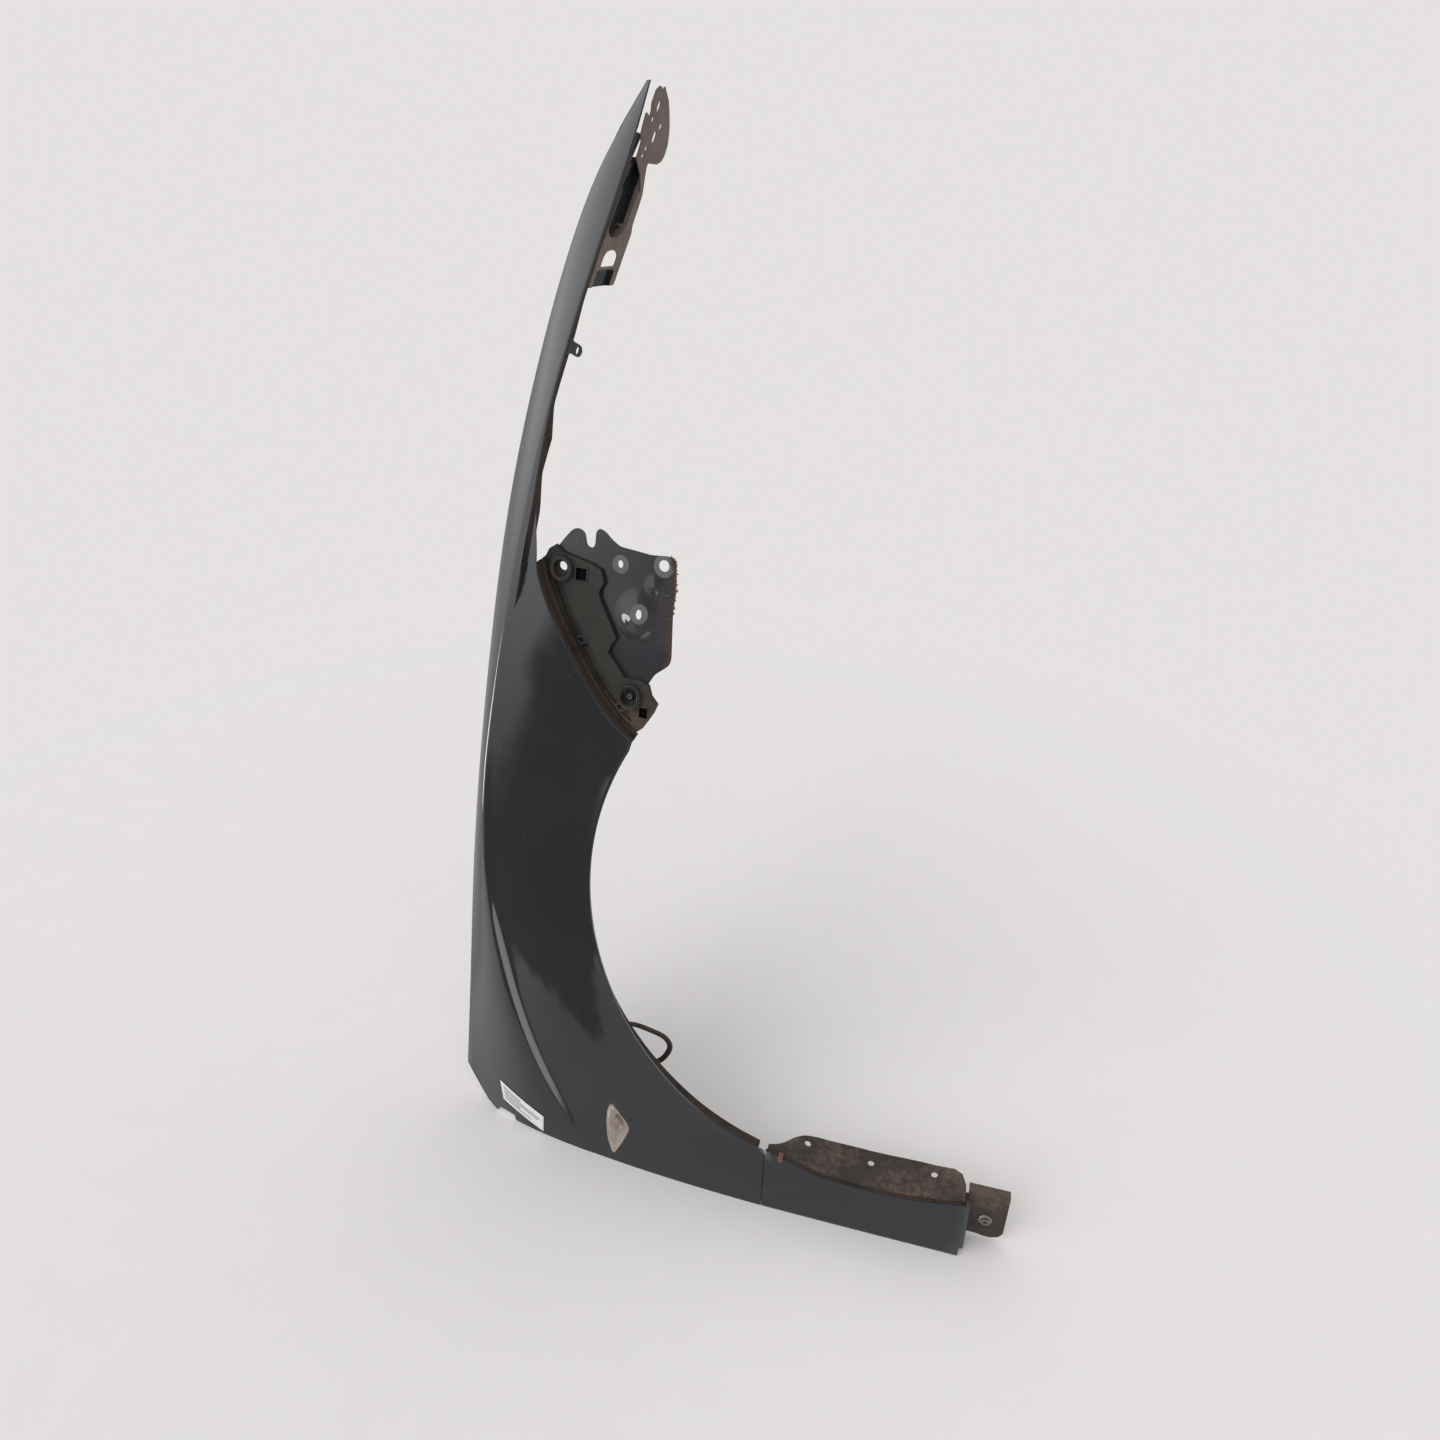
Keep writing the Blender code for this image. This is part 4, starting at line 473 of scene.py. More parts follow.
class Wiring:
    """Adds nodes to a tree. An input takes a plain value or another node's output."""

    def __init__(self, tree):
        self.tree = tree

    def add(self, kind, values=None, **settings):
        node = self.tree.nodes.new(kind)
        for key, value in settings.items():
            setattr(node, key, value)
        for key, value in (values or {}).items():
            if isinstance(value, bpy.types.NodeSocket):
                self.tree.links.new(value, node.inputs[key])
            else:
                node.inputs[key].default_value = value
        return node

    def maths(self, operation, *values):
        inputs = dict(enumerate(values))
        return self.add("ShaderNodeMath", inputs, operation=operation).outputs[0]

    def chain(self, operation, values):
        result, *others = values
        for other in others:
            result = self.maths(operation, result, other)
        return result

    def times(self, *factors):
        return self.chain("MULTIPLY", factors)

    def most(self, *values):
        return self.chain("MAXIMUM", values)

    def vector(self, operation, *values, output="Vector"):
        inputs = dict(enumerate(values))
        return self.add("ShaderNodeVectorMath", inputs, operation=operation).outputs[output]

    def lean(self, direction, axis):
        """How far the direction leans along the axis."""
        return self.vector("DOT_PRODUCT", direction, axis, output="Value")

    def split(self, at):
        return self.add("ShaderNodeSeparateXYZ", {0: at}).outputs

    def noise(self, at, scale, detail=4.0, roughness=0.6):
        values = {"Vector": at, "Scale": scale, "Detail": detail, "Roughness": roughness}
        return self.add("ShaderNodeTexNoise", values).outputs["Fac"]

    def between(self, value, low, high, start=0.0, end=1.0):
        values = {"Value": value, "From Min": low, "From Max": high, "To Min": start, "To Max": end}
        return self.add("ShaderNodeMapRange", values, interpolation_type="SMOOTHSTEP").outputs[0]

    def blend(self, share, first, second):
        values = {0: share, 6: first, 7: second}
        return self.add("ShaderNodeMix", values, data_type="RGBA").outputs[2]

    def band(self, value, low, high, soft):
        """1 from low to high, 0 outside, with soft ends."""
        return self.times(self.between(value, low, low + soft),
                          self.between(value, high, high - soft))

    def mottled(self, share, tones):
        """Between a dark and a light tone."""
        return self.blend(share, *[rgba(tone) for tone in tones])

    def ragged(self, value, at, scale, reach, detail=5.0):
        """The value shifted by noise, so that an edge drawn from it wanders."""
        return self.maths("MULTIPLY_ADD", self.noise(at, scale, detail), reach, value)

    def place(self):
        return self.add("ShaderNodeTexCoord").outputs["Object"]

    def stretched(self, at, scale, turn):
        values = {"Vector": at, "Scale": scale, "Rotation": turn}
        return self.add("ShaderNodeMapping", values).outputs[0]

    def group(self, tree, values, output):
        return self.add("ShaderNodeGroup", values, node_tree=tree).outputs[output]


def new_group(name, inputs, output, fill, vectors=()):
    """A shader group with plain number inputs and one output, built once."""
    found = bpy.data.node_groups.get(name)
    if found:
        return found
    tree = bpy.data.node_groups.new(name, "ShaderNodeTree")
    for title in inputs:
        kind = "NodeSocketVector" if title in vectors else "NodeSocketFloat"
        tree.interface.new_socket(title, in_out="INPUT", socket_type=kind)
    tree.interface.new_socket(output, in_out="OUTPUT", socket_type="NodeSocketFloat")
    wiring = Wiring(tree)
    given = wiring.add("NodeGroupInput").outputs
    result = fill(wiring, given)
    wiring.add("NodeGroupOutput", {output: result})
    return tree


def film_mask(wiring, given):
    """Patchy film, thicker in some places, as dust or dried mud lies."""
    at = wiring.place()
    broad = wiring.noise(at, given["Scale"], 5.0, 0.62)
    fine = wiring.noise(at, wiring.times(given["Scale"], 9.0), 3.0, 0.6)
    both = wiring.maths("MULTIPLY_ADD", fine, 0.35, wiring.times(broad, 0.65))
    low = wiring.maths("MULTIPLY_ADD", given["Cover"], -0.45, 0.72)
    return wiring.between(both, low, wiring.maths("ADD", low, 0.16))


def scratch_mask(wiring, given):
    """Short fine scratches in two directions."""
    at = wiring.place()
    masks = []
    for scale, turn in (((1, 1, 34), (0.2, 0.7, 0.3)), ((30, 1, 1), (0.1, -0.4, 0.2))):
        streak = wiring.noise(wiring.stretched(at, scale, turn), given["Scale"], 1.0, 0.4)
        low = wiring.maths("SUBTRACT", 0.83, given["Cover"])
        masks.append(wiring.between(streak, low, wiring.maths("ADD", low, 0.03)))
    patches = wiring.between(wiring.noise(at, scale=14.0, detail=2.0), 0.50, 0.62)
    return wiring.times(wiring.most(*masks), patches)


def grain_height(wiring, given):
    """Fine moulded or cast grain."""
    at = wiring.place()
    soft = wiring.noise(at, given["Scale"], 3.0, 0.65)
    cells = wiring.add("ShaderNodeTexVoronoi", {"Vector": at, "Scale": given["Scale"]})
    return wiring.times(soft, cells.outputs["Distance"])


def ring_mask(wiring, given):
    """A round band about an axis along y, as a washer leaves on a plate."""
    offset = wiring.vector("SUBTRACT", wiring.place(), given["Centre"])
    flat = wiring.vector("MULTIPLY", offset, (1, 0, 1))
    reach = wiring.vector("LENGTH", flat, output="Value")
    return wiring.between(reach, wiring.maths("ADD", given["Outer"], 0.0006), given["Outer"])


def film(wiring, scale, cover):
    tree = new_group("settled film", ("Scale", "Cover"), "Mask", film_mask)
    return wiring.group(tree, {"Scale": scale, "Cover": cover}, "Mask")


def scratches(wiring, scale, cover):
    tree = new_group("fine scratches", ("Scale", "Cover"), "Mask", scratch_mask)
    return wiring.group(tree, {"Scale": scale, "Cover": cover}, "Mask")


def grain(wiring, scale):
    tree = new_group("surface grain", ("Scale",), "Height", grain_height)
    return wiring.group(tree, {"Scale": scale}, "Height")


def washer_mark(wiring, x, z, outer):
    tree = new_group("washer mark", ("Centre", "Outer"), "Mask", ring_mask, ("Centre",))
    centre = Vector((x, DATUM.y, z)) - DATUM
    return wiring.group(tree, {"Centre": centre, "Outer": outer}, "Mask")


def finish(name, fill, **plain):
    """A material with a Principled shader: fill wires what varies, plain sets what doesn't."""
    found = bpy.data.materials.get("dressed_" + name)
    if found:
        return found
    made = bpy.data.materials.new("dressed_" + name)
    made.use_nodes = True
    wiring = Wiring(made.node_tree)
    shader = made.node_tree.nodes["Principled BSDF"]
    for key, value in plain.items():
        shader.inputs[key.replace("_", " ")].default_value = value
    for key, socket in fill(wiring).items():
        made.node_tree.links.new(socket, shader.inputs[key])
    return made


def bumped(wiring, height, strength, distance=0.0004):
    values = {"Height": height, "Strength": strength, "Distance": distance}
    return wiring.add("ShaderNodeBump", values).outputs[0]


def rgba(colour, factor=1.0):
    return (*[channel * factor for channel in colour], 1.0)


def graphite_paint(paint):
    """Dark metallic paint under a clear coat, dulled by dust and fine scratches."""

    def fill(wiring):
        at = wiring.place()
        flakes = wiring.add("ShaderNodeTexVoronoi", {"Vector": at, "Scale": 900.0})
        sparkle = wiring.between(flakes.outputs["Distance"], 0.1, 0.6)
        tone = wiring.blend(sparkle, rgba(paint.colour), rgba(paint.dark))
        cloud = wiring.between(wiring.noise(at, scale=5.0, detail=3.0), 0.35, 0.65, 0.0, 0.30)
        tone = wiring.blend(cloud, tone, rgba(paint.colour, 1.35))
        dust = film(wiring, scale=11.0, cover=paint.dust_cover)
        tone = wiring.blend(wiring.times(dust, 0.22), tone, rgba(paint.dust))
        lines = scratches(wiring, scale=55.0, cover=0.05)
        tone = wiring.blend(wiring.times(lines, 0.5), tone, rgba(SCRATCHED_PAINT))
        dull = wiring.most(wiring.times(dust, 0.5), lines)
        rough = wiring.between(dull, 0.0, 1.0, 0.40, 0.62)
        coat = wiring.between(dull, 0.0, 1.0, 1.0, 0.35)
        peel = wiring.noise(at, scale=260.0, detail=2.0)
        return {"Base Color": tone, "Roughness": rough, "Coat Weight": coat,
                "Normal": bumped(wiring, peel, 0.03)}

    return finish("graphite_paint", fill, Metallic=0.15, Coat_Roughness=0.03, Coat_IOR=1.75,
                  Specular_IOR_Level=0.12)


def inner_coat(paint):
    """Thin dull overspray on the inner side of the sheet, with dust in it."""

    def fill(wiring):
        dirt = film(wiring, scale=9.0, cover=0.55)
        base = wiring.mottled(wiring.noise(wiring.place(), scale=30.0), OVERSPRAY)
        tone = wiring.blend(wiring.times(dirt, 0.6), base, rgba(paint.dust, 0.75))
        return {"Base Color": tone, "Roughness": wiring.between(dirt, 0, 1, 0.5, 0.9),
                "Normal": bumped(wiring, grain(wiring, scale=420.0), 0.15)}

    return finish("inner_coat", fill)


def muddy_flange(paint):
    """Painted flange that road mud has covered."""

    def fill(wiring):
        mud = film(wiring, scale=26.0, cover=0.85)
        fine = wiring.noise(wiring.place(), scale=190.0, detail=3.0)
        earth = wiring.blend(fine, rgba(paint.mud, 0.45), rgba(paint.dust, 0.45))
        tone = wiring.blend(mud, rgba(paint.colour, 0.8), earth)
        return {"Base Color": tone, "Roughness": wiring.between(mud, 0, 1, 0.45, 0.92),
                "Normal": bumped(wiring, fine, 0.35)}

    return finish("muddy_flange", fill, Specular_IOR_Level=0.15)


def dirty_steel(paint):
    """Dark primed steel under brown dirt."""

    def fill(wiring):
        at = wiring.place()
        mud = film(wiring, scale=16.0, cover=0.62)
        fine = wiring.noise(at, scale=240.0, detail=4.0)
        primer = wiring.mottled(wiring.noise(at, scale=40.0), PRIMER)
        earth = wiring.blend(fine, rgba(paint.mud, 1.25), rgba(paint.dust, 1.15))
        tone = wiring.blend(wiring.times(mud, 0.8), primer, earth)
        lines = scratches(wiring, scale=70.0, cover=0.06)
        tone = wiring.blend(lines, tone, rgba(SCRATCHED_PRIMER))
        return {"Base Color": tone, "Roughness": wiring.between(mud, 0, 1, 0.50, 0.88),
                "Normal": bumped(wiring, fine, 0.30)}

    return finish("dirty_steel", fill, Specular_IOR_Level=0.3)


def browned_steel(paint):
    """Thin bare plate, browned and dusty, that still shines a little."""

    def fill(wiring):
        at = wiring.place()
        fine = wiring.noise(at, scale=260.0, detail=4.0)
        broad = wiring.noise(at, scale=45.0, detail=3.0)
        tone = wiring.mottled(broad, BROWNED)
        mud = wiring.times(film(wiring, scale=24.0, cover=0.4), 0.5)
        tone = wiring.blend(mud, tone, rgba(paint.mud, 0.8))
        lines = wiring.times(scratches(wiring, scale=80.0, cover=0.06), 0.6)
        tone = wiring.blend(lines, tone, rgba(SCRATCHED_BROWN))
        return {"Base Color": tone, "Roughness": wiring.between(fine, 0.3, 0.7, 0.38, 0.7),
                "Normal": bumped(wiring, fine, 0.15)}

    return finish("browned_steel", fill, Metallic=0.3)


def rusty_steel(paint):
    """Spring steel gone to rust."""

    def fill(wiring):
        fine = wiring.noise(wiring.place(), scale=600.0, detail=5.0, roughness=0.7)
        patch = film(wiring, scale=160.0, cover=0.6)
        tone = wiring.mottled(fine, RUST)
        tone = wiring.blend(wiring.times(patch, 0.5), tone, rgba(paint.dust, 1.3))
        return {"Base Color": tone, "Roughness": wiring.between(fine, 0.3, 0.7, 0.7, 0.95),
                "Normal": bumped(wiring, fine, 0.6)}

    return finish("rusty_steel", fill, Metallic=0.1)


def primed_steel(paint):
    """Glossy dark plate: pale washer marks at its holes, caked mud along its free edge."""

    def fill(wiring):
        at = wiring.place()
        broad = wiring.noise(at, scale=22.0, detail=3.0)
        tone = wiring.mottled(broad, PLATE_DARK)
        marks = [washer_mark(wiring, *ring) for ring in SUPPORT_RINGS]
        rings = wiring.most(*marks)
        speck = wiring.noise(at, scale=700.0, detail=3.0)
        pale = wiring.mottled(speck, WASHER_PALE)
        tone = wiring.blend(wiring.times(rings, 0.85), tone, pale)
        ragged = wiring.ragged(wiring.split(at)["Z"], at, scale=90.0, reach=0.022)
        edge = SUPPORT_OUTLINE[MUDDY_EDGE][-1][1] - DATUM.z
        mud = wiring.between(ragged, edge + 0.0185, edge + 0.0125)
        dust = wiring.times(film(wiring, scale=38.0, cover=0.42), 0.45)
        cover = wiring.most(mud, dust)
        earth = wiring.blend(speck, rgba(paint.mud, 0.55), rgba(paint.dust, 0.6))
        tone = wiring.blend(cover, tone, earth)
        lines = scratches(wiring, scale=90.0, cover=0.075)
        tone = wiring.blend(lines, tone, rgba(SCRATCHED_PLATE))
        dull = wiring.most(cover, rings)
        return {"Base Color": tone, "Roughness": wiring.between(dull, 0, 1, 0.24, 0.82),
                "Coat Weight": wiring.between(dull, 0, 0.8, 1.0, 0.0),
                "Normal": bumped(wiring, speck, 0.06)}

    return finish("primed_steel", fill, Coat_Roughness=0.04, Specular_IOR_Level=0.15)


def worn_zinc(paint):
    """Plated fastener with its plating dulled and dirt in its corners."""

    def fill(wiring):
        at = wiring.place()
        fine = wiring.noise(at, scale=500.0, detail=4.0)
        dirt = film(wiring, scale=130.0, cover=0.5)
        tone = wiring.mottled(fine, ZINC)
        tone = wiring.blend(wiring.times(dirt, 0.75), tone, rgba(paint.mud))
        return {"Base Color": tone, "Roughness": wiring.between(dirt, 0, 1, 0.32, 0.85),
                "Metallic": wiring.between(dirt, 0, 1, 0.9, 0.1),
                "Normal": bumped(wiring, fine, 0.2)}

    return finish("worn_zinc", fill)


def grey_plastic(paint):
    """Matt moulded plastic, with mud towards its lower end."""

    def fill(wiring):
        at = wiring.place()
        tone = wiring.mottled(wiring.noise(at, scale=34.0), MOULDED_GREY)
        ragged = wiring.ragged(wiring.split(at)["X"], at, scale=60.0, reach=0.05)
        end = LOWER_BOSS[0] - DATUM.x
        low = wiring.between(ragged, end + 0.030, end + 0.002)
        mud = wiring.most(low, wiring.times(film(wiring, scale=30.0, cover=0.45), 0.4))
        fine = wiring.noise(at, scale=300.0)
        earth = wiring.blend(fine, rgba(paint.mud, 0.8), rgba(paint.dust, 0.8))
        tone = wiring.blend(wiring.times(mud, 0.85), tone, earth)
        return {"Base Color": tone, "Roughness": wiring.between(mud, 0, 1, 0.58, 0.9),
                "Normal": bumped(wiring, grain(wiring, scale=900.0), 0.35)}

    return finish("grey_plastic", fill, Specular_IOR_Level=0.25)


def black_plastic(paint):
    """Black plug, dusty in patches."""

    def fill(wiring):
        dust = wiring.times(film(wiring, scale=90.0, cover=0.5), 0.35)
        tone = wiring.blend(dust, rgba(PLUG_BLACK), rgba(paint.dust, 0.7))
        return {"Base Color": tone, "Roughness": wiring.between(dust, 0, 0.35, 0.35, 0.7),
                "Normal": bumped(wiring, grain(wiring, scale=1100.0), 0.2)}

    return finish("black_plastic", fill)


def pocket_shade(paint):
    """Painted shade for the floors of the moulding's deep pockets, where little light falls, with a
    little dust on it.
    """

    def fill(wiring):
        dust = wiring.times(film(wiring, scale=90.0, cover=0.4), 0.1)
        return {"Base Color": wiring.blend(dust, rgba(PAINTED_POCKET_SHADE), rgba(paint.dust, 0.4)),
                "Roughness": wiring.between(dust, 0, 0.1, 0.8, 0.95)}

    return finish("pocket_shade", fill, Specular_IOR_Level=0.05)


def clear_lens():
    """Clear moulded lens with brown dust on it."""

    def fill(wiring):
        dust = film(wiring, scale=60.0, cover=0.5)
        tone = wiring.blend(wiring.times(dust, 0.35), rgba(CLEAN_LENS), rgba(LENS_DUST))
        return {"Base Color": tone, "Roughness": wiring.between(dust, 0, 1, 0.04, 0.22),
                "Normal": bumped(wiring, wiring.noise(wiring.place(), scale=150.0), 0.04)}

    return finish("clear_lens", fill, Transmission_Weight=0.92, IOR=1.49)


def lamp_bowl():
    """Reflector inside the lamp: its pale colour is partly a painted highlight, and it turns brown
    towards the bulb.
    """

    def fill(wiring):
        at = wiring.place()
        centre = Vector((LAMP_CENTRE[0], 0, LAMP_CENTRE[1])) - Vector((DATUM.x, 0, DATUM.z))
        flat = wiring.vector("MULTIPLY", at, (1, 0, 1))
        reach = wiring.vector("DISTANCE", flat, centre, output="Value")
        ragged = wiring.ragged(reach, at, scale=120.0, reach=0.010, detail=4.0)
        brown = wiring.between(ragged, 0.019, 0.007)
        tone = wiring.blend(wiring.times(brown, 0.9), rgba(PALE_BOWL_AND_HIGHLIGHT), rgba(BROWN_BOWL))
        return {"Base Color": tone, "Roughness": wiring.between(brown, 0, 1, 0.25, 0.7),
                "Normal": bumped(wiring, wiring.noise(wiring.place(), scale=220.0), 0.1)}

    return finish("lamp_bowl", fill)


def amber_bulb(fittings):
    """Orange glass of the indicator bulb."""

    def fill(wiring):
        haze = wiring.noise(wiring.place(), scale=320.0)
        tone = wiring.blend(haze, rgba(fittings.bulb, 0.8), rgba(fittings.bulb))
        return {"Base Color": tone, "Roughness": wiring.between(haze, 0.3, 0.7, 0.10, 0.25)}

    return finish("amber_bulb", fill, Coat_Weight=1.0)


def label_paper(fittings):
    """White paper label: plain grey bars stand where print would be."""

    def fill(wiring):
        at = wiring.add("ShaderNodeUVMap", uv_map="label").outputs[0]
        split = wiring.split(at)
        lines = wiring.times(split["Y"], LABEL_LINES)
        line = wiring.maths("FLOOR", lines)
        thick = wiring.band(wiring.maths("FRACT", lines), 0.22, 0.78, 0.06)
        random = wiring.add("ShaderNodeTexWhiteNoise", {"W": line}, noise_dimensions="1D")
        length = wiring.between(random.outputs["Value"], 0.0, 1.0, 0.45, 0.93)
        past = wiring.maths("SUBTRACT", length, split["X"])
        inside = wiring.times(wiring.between(past, 0.0, 0.01),
                              wiring.between(split["X"], 0.06, 0.07))
        height = wiring.band(split["Y"], 0.10, 0.90, 0.02)
        inked = wiring.times(inside, height, thick)
        bars = wiring.blend(wiring.times(inked, 0.85), rgba(fittings.label), rgba(PRINT_GREY))
        soil = wiring.times(film(wiring, scale=60.0, cover=0.4), 0.3)
        tone = wiring.blend(soil, bars, rgba(PAPER_SOIL))
        fibre = wiring.noise(wiring.place(), scale=900.0)
        return {"Base Color": tone, "Roughness": wiring.between(fibre, 0.3, 0.7, 0.45, 0.6),
                "Normal": bumped(wiring, fibre, 0.05)}

    return finish("label_paper", fill)


# Meshes

def linked(name, mesh, materials=(), smooth_angle=38):
    obj = bpy.data.objects.new(name, mesh)
    bpy.context.scene.collection.objects.link(obj)
    places = [polygon.material_index for polygon in mesh.polygons]
    mesh.materials.clear()
    for material in materials:
        mesh.materials.append(material)
    mesh.polygons.foreach_set("material_index", places)
    mesh.shade_smooth()
    mesh.set_sharp_from_angle(angle=math.radians(smooth_angle))
    return obj


def mesh_from(bm, name, move=True):
    """The bmesh as a mesh, moved from the press frame to the model's frame."""
    if move:
        bmesh.ops.translate(bm, verts=bm.verts, vec=-DATUM)
    mesh = bpy.data.meshes.new(name)
    bm.to_mesh(mesh)
    bm.free()
    return mesh


def evaluated_mesh(obj):
    """The object's mesh with its modifiers taken up, and the object removed."""
    graph = bpy.context.evaluated_depsgraph_get()
    graph.update()
    mesh = bpy.data.meshes.new_from_object(obj.evaluated_get(graph))
    bpy.data.objects.remove(obj, do_unlink=True)
    return mesh


def hand_over(obj, slot, *nodes):
    """The piece rides on the part and stands for its CAD nodes; the slot is not used."""
    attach(obj, "root")
    if nodes:
        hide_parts(*nodes)


def helper(bm, name):
    obj = bpy.data.objects.new(name, mesh_from(bm, name))
    bpy.context.scene.collection.objects.link(obj)
    return obj


def cut(obj, cuts):
    """The object's mesh after each (operation, other object) in turn. The others go."""
    for operation, other in cuts:
        modifier = obj.modifiers.new(other.name, "BOOLEAN")
        modifier.operation = operation
        modifier.object = other
        modifier.solver = "EXACT"
    mesh = evaluated_mesh(obj)
    for _, other in cuts:
        bpy.data.objects.remove(other, do_unlink=True)
    return mesh


def thickened(obj, thickness):
    """Gives an open sheet its wall, behind its faces."""
    wall = obj.modifiers.new("sheet", "SOLIDIFY")
    wall.thickness = thickness
    wall.offset = -1
    return wall


def rounded_edges(obj, width, angle=40):
    modifier = obj.modifiers.new("rounded edges", "BEVEL")
    modifier.width = width
    modifier.segments = 2
    modifier.limit_method = "ANGLE"
    modifier.angle_limit = math.radians(angle)
    modifier.use_clamp_overlap = True


def merged_copy(node, name, flat=True):
    """A welded copy of a CAD node, with the cuts between its flat triangles taken out."""
    bm = bmesh.new()
    bm.from_mesh(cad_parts[node].data)
    bmesh.ops.remove_doubles(bm, verts=bm.verts, dist=WELD)
    if flat:
        bmesh.ops.dissolve_limit(bm, angle_limit=FLAT, verts=bm.verts, edges=bm.edges)
    return mesh_from(bm, name, move=False)


def prism(outline, low, high):
    """A closed prism of a side-view outline, from inboard depth low to high."""
    bm = bmesh.new()
    points = np.array(outline, float)
    ahead = np.roll(points, -1, axis=0)
    if (points[:, 0] * ahead[:, 1] - points[:, 1] * ahead[:, 0]).sum() < 0:
        points = points[::-1]
    front = [bm.verts.new((x, low, z)) for x, z in points]
    back = [bm.verts.new((x, high, z)) for x, z in points]
    bm.faces.new(front)
    bm.faces.new(back[::-1])
    for i in range(len(points)):
        j = (i + 1) % len(points)
        bm.faces.new((front[j], front[i], back[i], back[j]))
    return bm


def oval(x, z, half_x, half_z, steps=40):
    angles = np.linspace(0, 2 * math.pi, steps, endpoint=False)
    return [(x + half_x * math.cos(a), z + half_z * math.sin(a)) for a in angles]


def softened(outline, radius, steps=4):
    """The outline with each corner cut to a short curve."""
    points = [Vector(p) for p in outline]
    made = []
    for before, corner, after in zip(points[-1:] + points[:-1], points, points[1:] + points[:1]):
        back, ahead = before - corner, after - corner
        start = corner + back * min(0.45, radius / back.length)
        end = corner + ahead * min(0.45, radius / ahead.length)
        for i in range(steps + 1):
            t = i / steps
            made.append(start * (1 - t) ** 2 + corner * 2 * t * (1 - t) + end * t ** 2)
    return [tuple(p) for p in made]


def turned(profile, centre, steps):
    """A solid turned about an axis along y: profile holds (radius, y) from end to end."""
    bm = bmesh.new()
    loops = []
    for radius, y in profile:
        count = steps if radius else 1
        angles = [2 * math.pi * i / steps for i in range(count)]
        loops.append([bm.verts.new((centre[0] + radius * math.cos(a), y,
                                    centre[1] + radius * math.sin(a))) for a in angles])
    for first, second in zip(loops, loops[1:]):
        for i in range(steps):
            j = (i + 1) % steps
            corners = [first[i % len(first)], first[j % len(first)],
                       second[j % len(second)], second[i % len(second)]]
            unique = list(dict.fromkeys(corners))
            if len(unique) > 2:
                bm.faces.new(unique)
    bmesh.ops.remove_doubles(bm, verts=bm.verts, dist=WELD)
    bmesh.ops.recalc_face_normals(bm, faces=bm.faces)
    return bm


def stamped(name, outline, holes, thickness, step, place):
    """A fine sheet cut to an outline with holes, then set to its place point by point."""
    points = np.array(outline)
    low, high = points.min(axis=0) - STAMP_MARGIN, points.max(axis=0) + STAMP_MARGIN
    xs, zs = (np.linspace(low[i], high[i], math.ceil((high[i] - low[i]) / step)) for i in (0, 1))
    sheet = Sheet()
    rows = [sheet.row([Vector((x, 0, z)) for x in xs]) for z in zs]
    for first, second in zip(rows, rows[1:]):
        sheet.join(first, second)
    body = linked(name, sheet.mesh(name))
    thickened(body, thickness)
    cuts = [("INTERSECT", helper(prism(outline, *OUTLINE_CUT), "outline"))]
    cuts += [("DIFFERENCE", helper(prism(hole, *HOLE_CUT), "hole")) for hole in holes]
    mesh = cut(body, cuts)
    for vertex in mesh.vertices:
        vertex.co = place(*(vertex.co + DATUM)) - DATUM
    return mesh


def swell(x, z, hills):
    """Height of the round swellings (centre x and z, radius, height) at a place."""
    rise = 0.0
    for cx, cz, radius, height in hills:
        share = min(1.0, math.dist((x, z), (cx, cz)) / radius)
        rise += height * (0.5 + 0.5 * math.cos(math.pi * share))
    return rise


def behind_tip(points):
    """Points given as distance behind the horn's tip, turned into places along x."""
    return [(TIP_X - back, *rest) for back, *rest in points]


def under_horn(x, reach, depth):
    """A point on the surface that falls inboard from the horn's lower edge."""
    return horn_edge(x) + HORN_INWARD * reach + HORN_BEHIND * depth


class Sheet:
    """Rows of points that are joined into one open sheet, facing outboard."""

    def __init__(self):
        self.bm = bmesh.new()

    def row(self, points):
        return [point and self.bm.verts.new(point) for point in points]

    def join(self, first, second, finish_index=0):
        for i in range(len(first) - 1):
            corners = (first[i], first[i + 1], second[i + 1], second[i])
            if all(corners):
                self.bm.faces.new(corners).material_index = finish_index

    def mesh(self, name):
        bm = self.bm
        bmesh.ops.recalc_face_normals(bm, faces=bm.faces)
        bm.normal_update()
        if sum(face.normal.y * face.calc_area() for face in bm.faces) > 0:
            bmesh.ops.reverse_faces(bm, faces=bm.faces)
        return mesh_from(bm, name)


def along(points, share):
    """The point at a share of a polyline's length."""
    points = np.array(points, float)
    lengths = np.hypot(*np.diff(points, axis=0).T)
    reach = np.concatenate([[0], np.cumsum(lengths)])
    return [float(np.interp(share * reach[-1], reach, points[:, i])) for i in range(2)]


def coarse_boundary():
    """(x, z, kind) stations along the side panel's free edge, front to rear."""
    stations = [(*LEAF_TIP, "leaf"), (*LEAF_LOWER, "leaf")]
    stations += [(x, z, "bumper") for x, z in BUMPER_EDGE]
    stations.append((*ARCH_CORNER, "corner"))
    for angle in np.linspace(ARCH_START, ARCH_END, ARCH_STEPS + 1):
        stations.append((ARCH_CENTRE[0] + ARCH_RADIUS * math.cos(angle),
                         ARCH_CENTRE[1] + ARCH_RADIUS * math.sin(angle), "arch"))
    last_x = stations[-1][0]
    stations[-1] = (last_x, SEAM_Z, "seam")
    stations.append((last_x / 2, SEAM_Z, "seam"))
    stations.append((0.0, SEAM_Z, "seam"))
    return stations


